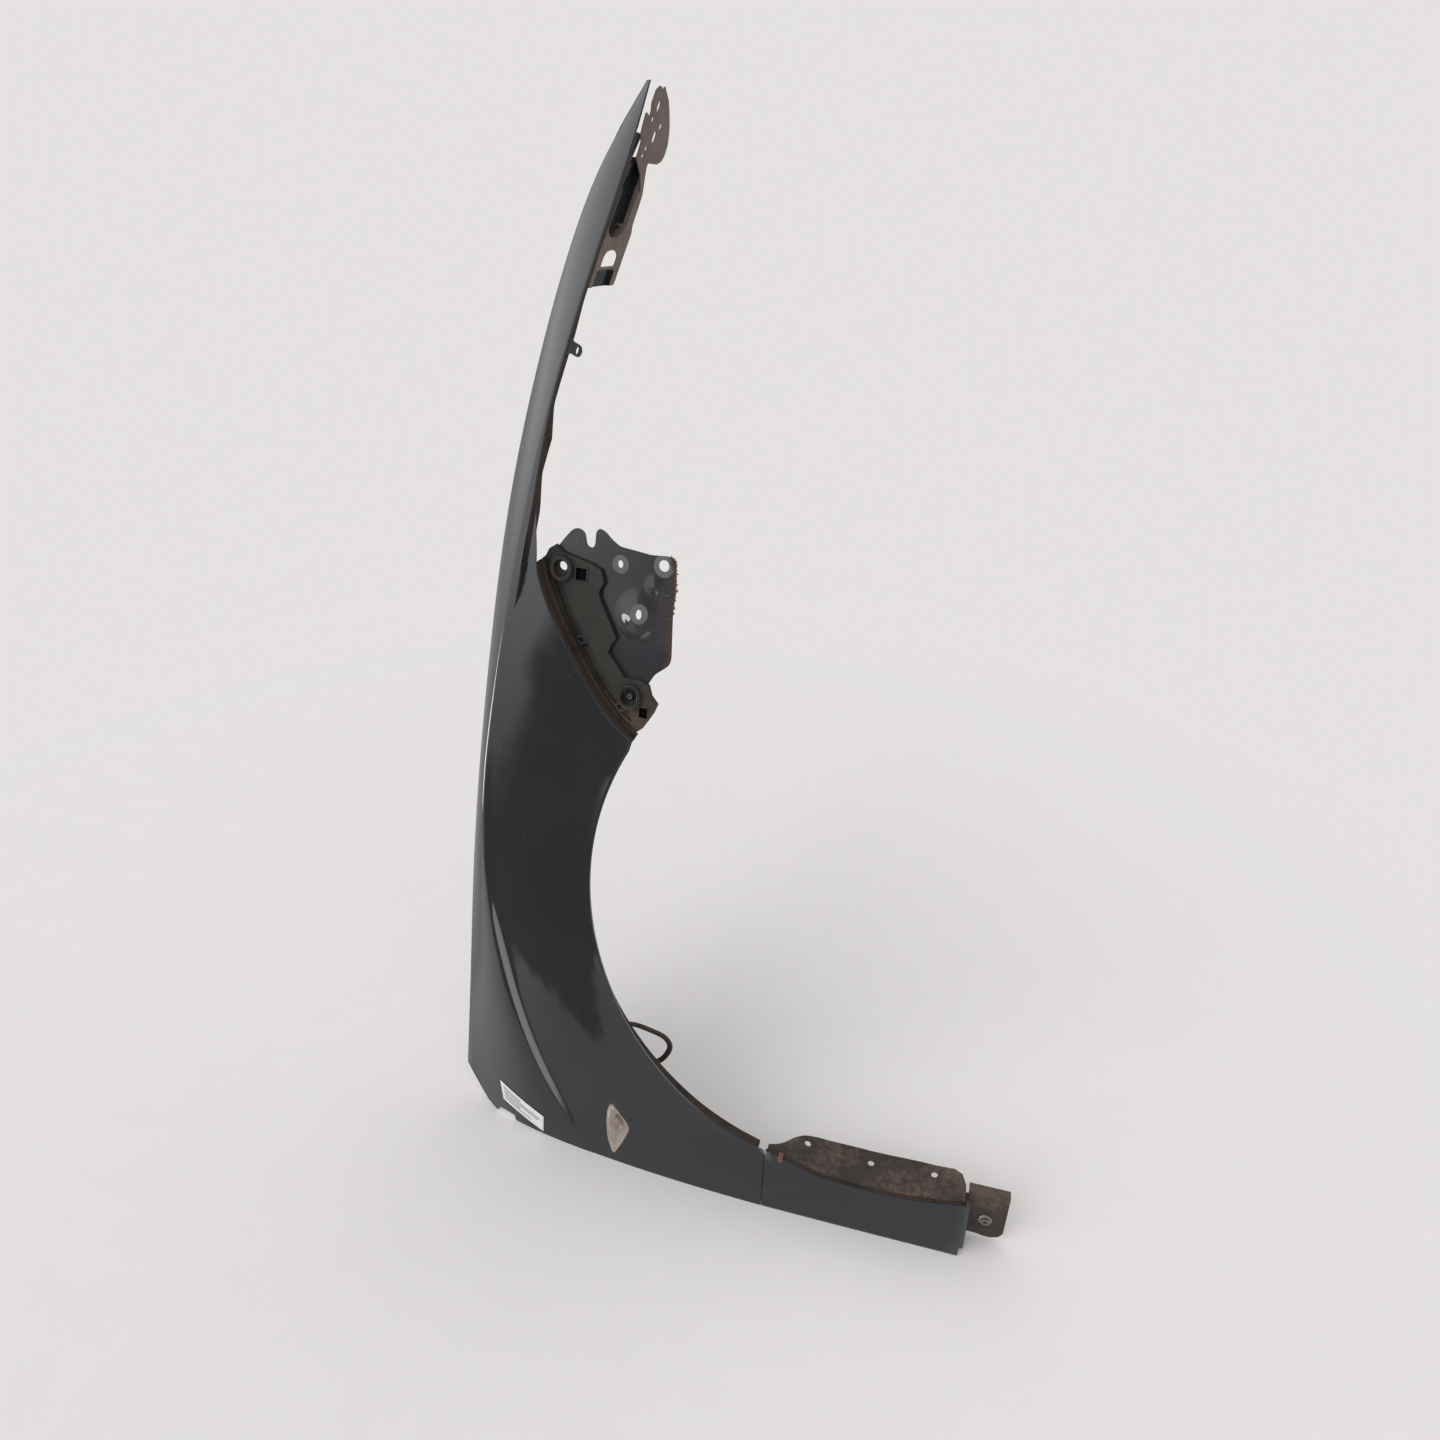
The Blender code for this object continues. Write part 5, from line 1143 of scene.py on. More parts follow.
def fine_boundary(finer):
    """(x, z, kind, place) stations: the coarse ones and smooth steps between them."""
    coarse = coarse_boundary()
    corner = [i for i, s in enumerate(coarse) if s[2] == "corner"][0]
    seam = [i for i, s in enumerate(coarse) if s[2] == "seam"][0]
    front_x = natural_spline([(i, s[0]) for i, s in enumerate(coarse[:corner + 1])])
    front_z = natural_spline([(i, s[1]) for i, s in enumerate(coarse[:corner + 1])])
    made = []
    for i, (x, z, kind) in enumerate(coarse[:-1]):
        for step in range(finer):
            place = i + step / finer
            share = step / finer
            if i < corner:
                at = (front_x(place), front_z(place)) if kind == "bumper" else (
                    x + (coarse[i + 1][0] - x) * share, z + (coarse[i + 1][1] - z) * share)
                now = "leaf" if i == 0 else "bumper" if i > 1 else kind
            elif corner < i < seam - 1:
                turn = ARCH_START + (ARCH_END - ARCH_START) * (place - corner - 1) / ARCH_STEPS
                at = (ARCH_CENTRE[0] + ARCH_RADIUS * math.cos(turn),
                      ARCH_CENTRE[1] + ARCH_RADIUS * math.sin(turn))
                now = "arch"
            else:
                at = (x + (coarse[i + 1][0] - x) * share, z + (coarse[i + 1][1] - z) * share)
                now = "arch" if kind == "arch" or (kind == "corner" and step) else kind
            made.append((*at, now, place))
    made.append((*coarse[-1], len(coarse) - 1))
    return made, corner, seam, len(coarse) - 1


def bonnet_station(x):
    """x on the bonnet edge that faces x on the ridge: they part near the tail."""
    return x + BONNET_END_X * max(0.0, 1 - x / CREASE_SHARP_X) ** 2


SHOULDER_ROWS = tuple(np.linspace(0.06, 0.94, 14)) + (0.975,)
SIDE_ROWS = (0.012, 0.03, 0.05, 0.075, 0.11, 0.15) + tuple(np.linspace(0.19, 0.965, 22))


def shoulder_point(x, share):
    """A point of the shoulder or horn, from the bonnet edge (0) to the ridge (1)."""
    upper, lower = bonnet_point(bonnet_station(x)), ridge_point(x)
    px = upper.x + (lower.x - upper.x) * share
    pz = upper.z + (lower.z - upper.z) * share
    near_tail = max(0.0, 1 - x / TAIL_BLEND) ** 2
    straight = BONNET_END_X * (1 - share)
    edge = BONNET_END_X * max(0.0, 1 - share / TAIL_CORNER)
    px += (edge - straight) * near_tail
    rise = upper.y - side_y(upper.x, upper.z)
    power = 1 + 2 * max(0.0, 1 - x / CREASE_SHARP_X)
    crown = HORN_CROWN * min(1.0, x / CREASE_SHARP_X) * min(1.0, (TIP_X - x) / TIP_TAPER)
    y = side_y(px, pz) + rise * (1 - share) ** power + horn_inset(x) * share
    y -= crown * 4 * share * (1 - share)
    return Vector((px, y, pz))


def side_point(station, share, x0):
    """A point of the side panel, from the crease (0) to its free edge (1)."""
    x1, z1, _, place = station
    z0 = ridge_z(x0)
    if share is None:
        share = NOTCH_DEPTH / math.dist((x0, z0), (x1, z1))
    px = x0 + (x1 - x0) * share
    pz = z0 + (z1 - z0) * share
    fade = max(0.0, 1 - place / LEAF_STATIONS) ** 2
    if fade and share < 1:
        base_z = ridge_z(NOTCH_X)
        start = NOTCH_DEPTH / math.dist((NOTCH_X, base_z), LEAF_TIP)
        if share > start:
            ex, ez = along(LEAF_UPPER, (share - start) / (1 - start))
        else:
            ex, ez = NOTCH_X, base_z - NOTCH_DEPTH * share / start
        px += (ex - NOTCH_X - (LEAF_TIP[0] - NOTCH_X) * share) * fade
        pz += (ez - base_z - (LEAF_TIP[1] - base_z) * share) * fade
    hollow = CREASE_HOLLOW * crease_depth(x0) * crease_profile(share)
    flared = ease(x0, *ARCH_FLARE_REAR_X) * ease(x0, *ARCH_FLARE_FRONT_X)
    flare = ARCH_FLARE * flared * share ** ARCH_FLARE_POWER
    return Vector((px, side_y(px, pz) + hollow - flare, pz))


def crease_depth(x):
    """Share of the hollow's depth along the crease: little at the tail, none in front."""
    rear = CREASE_TAIL_SHARE + (1 - CREASE_TAIL_SHARE) * ease(x, 0.0, CREASE_FULL_X)
    front = CREASE_FRONT_SHARE * ease(x, *CREASE_FADE_X)
    return rear * (front + (1 - CREASE_FRONT_SHARE) * ease(x, *CREASE_EASE_X))


def crease_profile(share):
    """The hollow below the crease: steep at first, then it runs out."""
    t = min(1.0, max(0.0, share / CREASE_REACH))
    return CREASE_LEVEL * (1 - math.exp(-CREASE_STEEP * t)) * (1 - t) ** 2


def folded(inside, corner, away):
    """Three points that round the fold from a surface to a flange."""
    back = (inside - corner).normalized()
    before = corner + back * FOLD_RADIUS
    middle = corner + (back + away) * FOLD_RADIUS * FOLD_MIDDLE
    return before, middle, corner + away * FOLD_RADIUS


def bonnet_flange(x, inside):
    """Points from the ledge's inner edge up the wall to the shoulder, or None past its end."""
    edge = bonnet_point(x)
    if x > LEDGE_END_X:
        before = edge + (inside - edge).normalized() * FOLD_RADIUS
        return [None] * (LEDGE_ROWS - 1) + [edge, before]
    level, foot = ledge_z(x), ledge_y(x)
    down = Vector((0, foot - edge.y, level - edge.z)).normalized()
    before, middle, after = folded(inside, edge, down)
    corner = Vector((x, foot, level))
    inner = Vector((x, foot + LEDGE_WIDTH, level))
    half = Vector((x, foot + LEDGE_WIDTH * 0.5, level))
    turn_in, turn, turn_up = folded(inner, corner, -down)
    return [inner, half, turn_in, turn, turn_up, after, middle, before]


def arch_lip_direction(x, z):
    """Into the wheel house, and away from the opening over the front of the arch."""
    radial = Vector((x - ARCH_CENTRE[0], 0, z - ARCH_CENTRE[1])).normalized()
    angle = math.degrees(math.atan2(z - ARCH_CENTRE[1], x - ARCH_CENTRE[0]))
    turn = ARCH_LIP_TURN * float(np.interp(angle, [115, 150], [1, 0]))
    return Vector((0, math.cos(turn), 0)) + radial * math.sin(turn)


def free_edge_flange(i, stations, edge, inside):
    """Points of the flange that turns in from the side panel's free edge."""
    x, z, kind, _ = stations[i]
    before = edge + (inside - edge).normalized() * FOLD_RADIUS
    if kind in ("bumper", "corner"):
        last = i + (kind == "bumper")
        ahead = Vector((stations[last][0] - stations[i - 1][0], 0,
                        stations[last][1] - stations[i - 1][1])).normalized()
        opening = Vector((-ahead.z, 0, ahead.x))
        inward = Vector((0, 1, 0))
        before, middle, after = folded(inside, edge, inward)
        foot = edge + inward * BUMPER_FLANGE
        return before, [middle, after, foot, foot + opening * BUMPER_LIP]
    if kind == "arch":
        away = arch_lip_direction(x, z)
        before, middle, after = folded(inside, edge, away)
        half = edge + away * ARCH_LIP * 0.5
        return before, [middle, after, half, edge + away * ARCH_LIP]
    return before, [edge, None, None, None]


PAINTED, FLANGED = 0, 2


def skin_sheet(finer):
    """The pressed outer skin as one fine open sheet."""
    stations, corner, seam_at, last = fine_boundary(finer)
    knots = ((0, NOTCH_X), (corner, CREASE_AT_ARCH_FRONT), (seam_at, CREASE_AT_SEAM), (last, 0.0))
    crease_x = table(knots)
    creases = [crease_x(s[3]) for s in stations]
    horn = list(np.linspace(TIP_X, NOTCH_X, HORN_COLUMNS * finer + 1)[:-1])
    sheet = Sheet()
    grid = []
    for x in horn + creases:
        inner = [shoulder_point(x, share) for share in SHOULDER_ROWS]
        grid.append(bonnet_flange(bonnet_station(x), inner[0]) + inner + [ridge_point(x)])
    rows = [sheet.row(points) for points in zip(*grid)]
    for n, (first, second) in enumerate(zip(rows, rows[1:])):
        sheet.join(first, second, FLANGED if n < 2 else PAINTED)
    notch = len(horn)
    facet_points = [horn_edge(x) for x in horn]
    facet_points += [side_point(s, None, x0) for s, x0 in zip(stations, creases)]
    facet = sheet.row(facet_points)
    soft = sheet.row([a.co.lerp(b.co, RIDGE_SOFT) for a, b in zip(rows[-1], facet)])
    sheet.join(rows[-1], soft)
    sheet.join(soft, facet)
    flange_rows = [[], []]
    for x, edge in zip((horn + creases)[:notch + 1], facet_points):
        width = horn_flange_width(x)
        gone = x > HORN_FLANGE_END_X
        flange_rows[0].append(None if gone else edge + HORN_INWARD * min(FOLD_RADIUS, width / 2))
        flange_rows[1].append(None if gone else edge + HORN_INWARD * width)
    first, second = [sheet.row(points) for points in flange_rows]
    sheet.join(facet[:notch + 1], first)
    sheet.join(first, second, FLANGED)
    side = []
    for i, (station, x0) in enumerate(zip(stations, creases)):
        edge = side_point(station, 1.0, x0)
        least = NOTCH_DEPTH / math.dist((x0, ridge_z(x0)), station[:2])
        inner = [side_point(station, least + (1 - least) * share, x0) for share in SIDE_ROWS]
        before, flange = free_edge_flange(i, stations, edge, inner[-1])
        side.append(inner + [before] + flange)
    side_rows = [sheet.row(points) for points in zip(*side)]
    sheet.join(facet[notch:], side_rows[0])
    for n, (first, second) in enumerate(zip(side_rows, side_rows[1:])):
        sheet.join(first, second, FLANGED if n > len(SIDE_ROWS) else PAINTED)
    join_seam_and_door(sheet, rows, facet, side_rows, stations)
    return sheet


def join_seam_and_door(sheet, rows, facet, side_rows, stations):
    """The tab behind the seam and the hem along the door edge."""
    seam = [i for i, s in enumerate(stations) if s[2] == "seam"]
    width = stations[seam[0]][0]
    edge_row = side_rows[len(SIDE_ROWS) + 1]
    tab_rows = []
    for drop in (SEAM_STEP, SEAM_TAB):
        points = []
        for i in seam:
            x = width * (SEAM_MARGIN + (1 - 2 * SEAM_MARGIN) * stations[i][0] / width)
            points.append(Vector((x, side_y(x, SEAM_Z) + SHEET + GAP, SEAM_Z - drop)))
        tab_rows.append(sheet.row(points))
    sheet.join([edge_row[i] for i in seam], tab_rows[0], FLANGED)
    sheet.join(tab_rows[0], tab_rows[1], FLANGED)
    tail = [row[-1] for row in rows[LEDGE_ROWS:]] + [facet[-1]]
    tail += [row[-1] for row in side_rows[:len(SIDE_ROWS) + 1]] + [edge_row[-1]]
    turned_row = sheet.row([v.co + Vector((HEM_LEAN[0], FOLD_RADIUS, 0)) for v in tail])
    ends = [v.co + Vector((HEM_LEAN[1], DOOR_HEM, 0)) for v in tail]
    ends[-1].z += HEM_CUT
    ends[0].z -= HEM_CUT
    sheet.join(tail, turned_row)
    sheet.join(turned_row, sheet.row(ends), FLANGED)


def outer_y(tree, x, z):
    """Inboard depth of the outer skin at a place in the side view, in the press frame."""
    start = Vector((x, -1, z)) - DATUM
    hit = tree.ray_cast(start, Vector((0, 1, 0)))[0]
    return hit.y + DATUM.y if hit else side_y(x, z)


formed = {}


def keep_surface(mesh):
    """Keeps the uncut skin's surface for the pieces that sit on it."""
    bm = bmesh.new()
    bm.from_mesh(mesh)
    formed["skin"] = BVHTree.FromBMesh(bm)
    bm.free()


def skin_surface():
    if "skin" not in formed:
        raise RuntimeError("make the painted sheet first: this piece sits on it")
    return formed["skin"]


def ear_shapes():
    """Round-ended ear on the horn's flange, and the hole through it."""
    centre = horn_edge(EAR_X)
    ahead = (horn_edge(EAR_X + 0.01) - horn_edge(EAR_X - 0.01)).normalized()
    across = (HORN_INWARD - ahead * HORN_INWARD.dot(ahead)).normalized()
    normal = ahead.cross(across).normalized()
    middle = centre + normal * (SHEET / 2) * (1 if normal.z > 0 else -1)

    def build(outline, thick, name):
        bm = prism(outline, -thick / 2, thick / 2)
        for v in bm.verts:
            along_edge, depth, reach = v.co
            v.co = middle + ahead * along_edge + normal * depth + across * reach
        bmesh.ops.recalc_face_normals(bm, faces=bm.faces)
        return helper(bm, name)

    half = EAR_WIDTH / 2
    outline = [(-half - EAR_FOOT, EAR_FOOT), (half + EAR_FOOT, EAR_FOOT), (half, EAR_NECK)]
    for angle in np.linspace(0, math.pi, 17):
        outline.append((half * math.cos(angle), EAR_REACH - half + half * math.sin(angle)))
    outline.append((-half, EAR_NECK))
    hole = oval(0, EAR_REACH - half - EAR_HOLE_BACK, *EAR_HOLE)
    return build(outline, 2 * SHEET, "ear"), build(hole, 8 * SHEET, "ear hole")


def grown(outline, centre, scale, grow=0.0):
    """The outline scaled about a centre, and moved outward by grow."""
    made = []
    for x, z in outline:
        dx, dz = x - centre[0], z - centre[1]
        factor = scale + grow / math.hypot(dx, dz)
        made.append((centre[0] + dx * factor, centre[1] + dz * factor))
    return made


def lamp_outline():
    return softened(LAMP_OUTLINE, LAMP_CORNER, 3)


class FENDER_OT_painted_sheet(bpy.types.Operator):
    """Make the painted outer skin and the lower panel"""
    bl_idname = "fender.painted_sheet"
    bl_label = "Painted sheet"

    def execute(self, context):
        settings = context.scene.fender
        paint = settings.paint
        flange = muddy_flange(paint)
        self.skin(settings.sheet, (graphite_paint(paint), inner_coat(paint), flange, flange))
        self.lower_panel(graphite_paint(paint), flange)
        return {"FINISHED"}

    def skin(self, sheet, finishes):
        """The pressed sheet, thickened and cut. Its inner side takes the next finish."""
        mesh = skin_sheet(sheet.finer).mesh("painted_skin")
        keep_surface(mesh)
        skin = linked("painted_skin", mesh, finishes)
        wall = thickened(skin, sheet.thickness)
        wall.use_quality_normals = True
        wall.material_offset = 1
        skin = linked("painted_skin", cut(skin, self.cuts()), finishes, 50)
        hand_over(skin, "graphite_paint", "fender_skin")

    def cuts(self):
        """The ear, and the holes for the pads, the ear, the tail's notch and the lamp."""
        ear, ear_hole = ear_shapes()
        cuts = [("UNION", ear), ("DIFFERENCE", ear_hole)]
        for x in PAD_X:
            bm = bmesh.new()
            bmesh.ops.create_cone(bm, cap_ends=True, segments=40, radius1=PAD_HOLE_R,
                                  radius2=PAD_HOLE_R, depth=PAD_CUT)
            middle = (x, ledge_y(x) + LEDGE_WIDTH / 2, ledge_z(x))
            bmesh.ops.translate(bm, verts=bm.verts, vec=middle)
            cuts.append(("DIFFERENCE", helper(bm, "pad hole")))
        cuts.append(("DIFFERENCE", helper(prism(TAIL_NOTCH, *NOTCH_CUT), "tail notch")))
        opening = grown(lamp_outline(), LAMP_CENTRE, 1.0, 2 * GAP)
        cuts.append(("DIFFERENCE", helper(prism(opening, *LAMP_CUT), "lamp hole")))
        return cuts

    def lower_panel(self, face, flange):
        mesh = merged_copy("lower_panel", "painted_lower_panel", flat=False)
        for polygon in mesh.polygons:
            polygon.material_index = 0 if polygon.normal.y < LOWER_PANEL_FACE else 1
        lower = linked("painted_lower_panel", mesh, (face, flange))
        hand_over(lower, "graphite_paint", "lower_panel")


class FENDER_OT_inner_pressings(bpy.types.Operator):
    """Make the liner flange, its clip, the sill foot and the bolt"""
    bl_idname = "fender.inner_pressings"
    bl_label = "Inner pressings"

    def execute(self, context):
        settings = context.scene.fender
        paint = settings.paint
        edge = settings.sheet.bevel
        for node, slot, look in (("liner_panel", "dirty_steel", dirty_steel),
                                 ("sill_foot", "dirty_steel", dirty_steel),
                                 ("liner_clip", "rusty_steel", rusty_steel)):
            obj = linked("worn_" + node, merged_copy(node, "worn_" + node, node != "liner_panel"),
                         (look(paint),))
            rounded_edges(obj, edge * 0.7)
            hand_over(obj, slot, node)
        self.bolt(paint)
        return {"FINISHED"}

    def bolt(self, paint):
        """Round bolt with a socket in its head, on a worn washer face."""
        face = FOOT_PLATE_Y - GAP
        shank = BOLT_HOLE_R - GAP * 2
        end = face + BOLT_LENGTH
        profile = [(radius, face + y) for radius, y in BOLT_HEAD]
        profile += [(shank, face), (shank, end - BOLT_POINT), (shank * 0.8, end), (0, end)]
        bm = turned(profile, FOOT_BOLT, 48)
        obj = linked("worn_bolt", mesh_from(bm, "worn_bolt"), (worn_zinc(paint),), 30)
        hand_over(obj, "worn_zinc", "foot_bolt")


class FENDER_OT_front_carrier(bpy.types.Operator):
    """Make the support plate, the bumper guide, its plug and screw"""
    bl_idname = "fender.front_carrier"
    bl_label = "Front carrier"

    def execute(self, context):
        settings = context.scene.fender
        paint = settings.paint
        self.support_plate(paint)
        mesh = merged_copy("bumper_guide", "moulded_guide")
        for polygon in mesh.polygons:
            polygon.material_index = 0
        self.darken_pockets(mesh)
        guide = linked("moulded_guide", mesh, (grey_plastic(paint), pocket_shade(paint)), 30)
        rounded_edges(guide, settings.sheet.bevel, 35)
        hand_over(guide, "grey_plastic", "bumper_guide")
        self.plug_and_screw(paint)
        return {"FINISHED"}

    def support_plate(self, paint):
        """Stamped plate, domed round its middle hole, on a fine grid."""
        holes = [oval(*hole) for hole in SUPPORT_HOLES]
        holes.append(oval(*LOWER_BOSS, SCREW_RADIUS + GAP, SCREW_RADIUS + GAP))

        def place(x, y, z):
            return Vector((x, guide_y(x, z) + GUIDE_SHEET + GAP + y - swell(x, z, DOMES), z))

        mesh = stamped("primed_plate", softened(SUPPORT_OUTLINE, PLATE_CORNER), holes,
                       PLATE_SHEET, PLATE_GRID, place)
        plate = linked("primed_plate", mesh, (primed_steel(paint),), 40)
        hand_over(plate, "primed_steel", "support_plate")

    def darken_pockets(self, mesh):
        """The floors of the guide's two pockets take the second finish, a painted shade."""
        for polygon in mesh.polygons:
            x, y, z = polygon.center + DATUM
            sunk = y - guide_y(x, z) > POCKET_FROM
            for px, pz, width, height in GUIDE_POCKETS:
                if sunk and abs(x - px) < width / 2 and abs(z - pz) < height / 2:
                    polygon.material_index = 1

    def plug_and_screw(self, paint):
        """Both are turned about the boss, then follow the slope of the guide's face."""
        radius = PLUG_BORE - GAP
        inner = [(PLUG_HOLE, PLUG_SEAT), (PLUG_HOLE, 0.0), *PLUG_FACE]
        outer = [(radius - PLUG_ROUNDING, -BOSS_RISE - PLUG_RISE * 0.3), (radius, -BOSS_RISE),
                 (radius, PLUG_SEAT), (PLUG_HOLE, PLUG_SEAT)]
        plug = turned(inner + outer, LOWER_BOSS, 56)
        under_head = SCREW_HEAD[-1][1]
        shank_end, end = SCREW_END
        screw = turned([*SCREW_HEAD, (SCREW_RADIUS, under_head), (SCREW_RADIUS, shank_end),
                        (0, end)], LOWER_BOSS, 36)
        for bm in (plug, screw):
            for v in bm.verts:
                v.co.y += guide_y(v.co.x, v.co.z)
        obj = linked("black_plug", mesh_from(plug, "black_plug"), (black_plastic(paint),), 35)
        hand_over(obj, "black_plastic", "guide_plug")
        obj = linked("worn_screw", mesh_from(screw, "worn_screw"), (dirty_steel(paint),), 35)
        hand_over(obj, "worn_zinc", "guide_screw")


class FENDER_OT_horn_brackets(bpy.types.Operator):
    """Make the rail under the horn and the bracket at its tip"""
    bl_idname = "fender.horn_brackets"
    bl_label = "Horn brackets"

    def execute(self, context):
        paint = context.scene.fender.paint
        self.rail(paint)
        self.tip(paint)
        return {"FINISHED"}

    def sink(self, x, z):
        """Shares of the rail's long pocket and of its sunk end at a place."""
        far, near, middle, half = RAIL_POCKET
        sunk_x, low, high, _ = RAIL_SUNK
        along_pocket = min(max(x, TIP_X - far), TIP_X - near)
        distance = math.dist((x, z), (along_pocket, middle))
        end = 1 - ease(x, TIP_X - sunk_x - RAIL_SUNK_WALL, TIP_X - sunk_x)
        start, full = RAIL_POCKET_WALL
        return ease(distance, half + start, half + full), end * (low < z < high)

    def rail(self, paint):
        """Flange rail inside the horn: long pocket, arched hole, sunk end; the floors of the pocket
        and sunk end are painted dark as shade.
        """

        def place(x, y, z):
            pocket, end = self.sink(x, z)
            depth = RAIL_POCKET_DEPTH * pocket + RAIL_SUNK[3] * end
            return under_horn(x, z, SHEET + GAP + y + depth)

        outline, hole = [softened(behind_tip(points), RAIL_CORNER, 3)
                         for points in (RAIL_OUTLINE, RAIL_HOLE)]
        mesh = stamped("worn_horn_rail", outline, [hole], BRACKET_SHEET, RAIL_GRID, place)
        mesh.flip_normals()
        # Faces deep in the long pocket or the sunk end take the second, dark paint finish: painted
        # shade in the recesses
        for polygon in mesh.polygons:
            at = polygon.center + DATUM
            reach = (at - horn_edge(at.x)).dot(HORN_INWARD)
            polygon.material_index = int(max(self.sink(at.x, reach)) > RAIL_SHADE_FROM)
        obj = linked("worn_horn_rail", mesh, (browned_steel(paint), graphite_paint(paint)), 40)
        hand_over(obj, "dirty_steel", "horn_rail")

    def tip(self, paint):
        """Thin bracket full of small holes, its free edge curled up."""
        start, end = TIP_CURL_SPAN

        def place(x, y, z):
            curl = TIP_CURL * max(0.0, (z - start) / (end - start)) ** 2
            curl -= swell(TIP_X - x, z, TIP_DIMPLES)
            return under_horn(x, z, y - PLATE_SHEET - GAP + SHEET + curl)

        holes = [oval(*hole) for hole in behind_tip(TIP_HOLES)]
        outline = softened(behind_tip(TIP_OUTLINE), TIP_CORNER, 3)
        mesh = stamped("worn_tip_bracket", outline, holes, PLATE_SHEET, TIP_GRID, place)
        mesh.flip_normals()
        obj = linked("worn_tip_bracket", mesh, (browned_steel(paint),), 40)
        hand_over(obj, "dirty_steel", "tip_bracket")


def nodes_tree(name, sockets, fill):
    """A Geometry Nodes tree with a geometry output and the named inputs."""
    tree = bpy.data.node_groups.new(name, "GeometryNodeTree")
    kinds = {"Geometry": "NodeSocketGeometry", "Material": "NodeSocketMaterial"}
    for title, value in sockets.items():
        kind = kinds.get(title, "NodeSocketInt" if isinstance(value, int) else "NodeSocketFloat")
        tree.interface.new_socket(title, in_out="INPUT", socket_type=kind)
    tree.interface.new_socket("Geometry", in_out="OUTPUT", socket_type="NodeSocketGeometry")
    wiring = Wiring(tree)
    given = wiring.add("NodeGroupInput").outputs
    shape = fill(wiring, given)
    whole = wiring.add("GeometryNodeRealizeInstances", {"Geometry": shape}).outputs[0]
    values = {"Geometry": whole, "Material": given["Material"]}
    last = wiring.add("GeometryNodeSetMaterial", values).outputs[0]
    wiring.add("NodeGroupOutput", {"Geometry": last})
    return tree


def grown_mesh(name, points, tree, values):
    """Runs a tree over a line of points and takes up the result as a plain mesh."""
    line = bpy.data.meshes.new(name)
    edges = [(i, i + 1) for i in range(len(points) - 1)]
    line.from_pydata([tuple(p) for p in points], edges, [])
    obj = bpy.data.objects.new(name, line)
    bpy.context.scene.collection.objects.link(obj)
    modifier = obj.modifiers.new(name, "NODES")
    modifier.node_group = tree
    for item in tree.interface.items_tree:
        if item.in_out == "INPUT" and item.name in values:
            modifier[item.identifier] = values[item.name]
    mesh = evaluated_mesh(obj)
    mesh.name = name
    return mesh


def strap_shape(wiring, given):
    """A flat bar with rounded edges swept along the line."""
    curve = wiring.add("GeometryNodeMeshToCurve", {"Mesh": given["Geometry"]}).outputs[0]
    profile = wiring.add("GeometryNodeCurvePrimitiveQuadrilateral",
                         {"Width": given["Width"], "Height": given["Thickness"]}).outputs[0]
    radius = wiring.times(given["Thickness"], 0.3)
    soft = wiring.add("GeometryNodeFilletCurve", {"Curve": profile, "Radius": radius, "Count": 4},
                      mode="POLY").outputs[0]
    bar = wiring.add("GeometryNodeCurveToMesh",
                     {"Curve": curve, "Profile Curve": soft, "Fill Caps": True}).outputs[0]
    return bar


class FENDER_OT_arch_strap(bpy.types.Operator):
    """Sweep the bent strap behind the wheel arch"""
    bl_idname = "fender.arch_strap"
    bl_label = "Arch strap"

    def execute(self, context):
        settings = context.scene.fender
        tree = skin_surface()
        clear = SHEET + 2 * GAP + STRAP_RADIUS
        front, rear = [[(x, outer_y(tree, x, z) + clear, z) for x, z in foot]
                       for foot in STRAP_FEET]
        knots = np.array([*front, STRAP_RISE, *STRAP_PATH, STRAP_FALL, *rear])
        reach = np.concatenate([[0], np.cumsum(np.linalg.norm(np.diff(knots, axis=0), axis=1))])
        curves = [natural_spline(list(zip(reach, knots[:, i]))) for i in range(3)]
        points = [Vector([value(at) for value in curves]) - DATUM
                  for at in np.linspace(0, reach[-1], STRAP_STEPS)]
        steel = dirty_steel(settings.paint)
        values = {"Width": settings.fittings.strap_width,
                  "Thickness": settings.fittings.strap_thickness, "Material": steel}
        sockets = {"Geometry": None, **values}
        bar = nodes_tree("strap along a line", sockets, strap_shape)
        mesh = grown_mesh("bent_strap", points, bar, values)
        obj = linked("bent_strap", mesh, (steel,), 40)
        hand_over(obj, "dirty_steel", "arch_strap")
        return {"FINISHED"}


def lofted(loops):
    """A solid of stacked loops: each is (outline, depth function), ends capped."""
    bm = bmesh.new()
    rings = [[bm.verts.new((x, depth(x, z), z)) for x, z in outline] for outline, depth in loops]
    count = len(rings[0])
    bm.faces.new(rings[0])
    bm.faces.new(rings[-1])
    for first, second in zip(rings, rings[1:]):
        for i in range(count):
            j = (i + 1) % count
            bm.faces.new((first[i], first[j], second[j], second[i]))
    bmesh.ops.recalc_face_normals(bm, faces=bm.faces)
    return bm


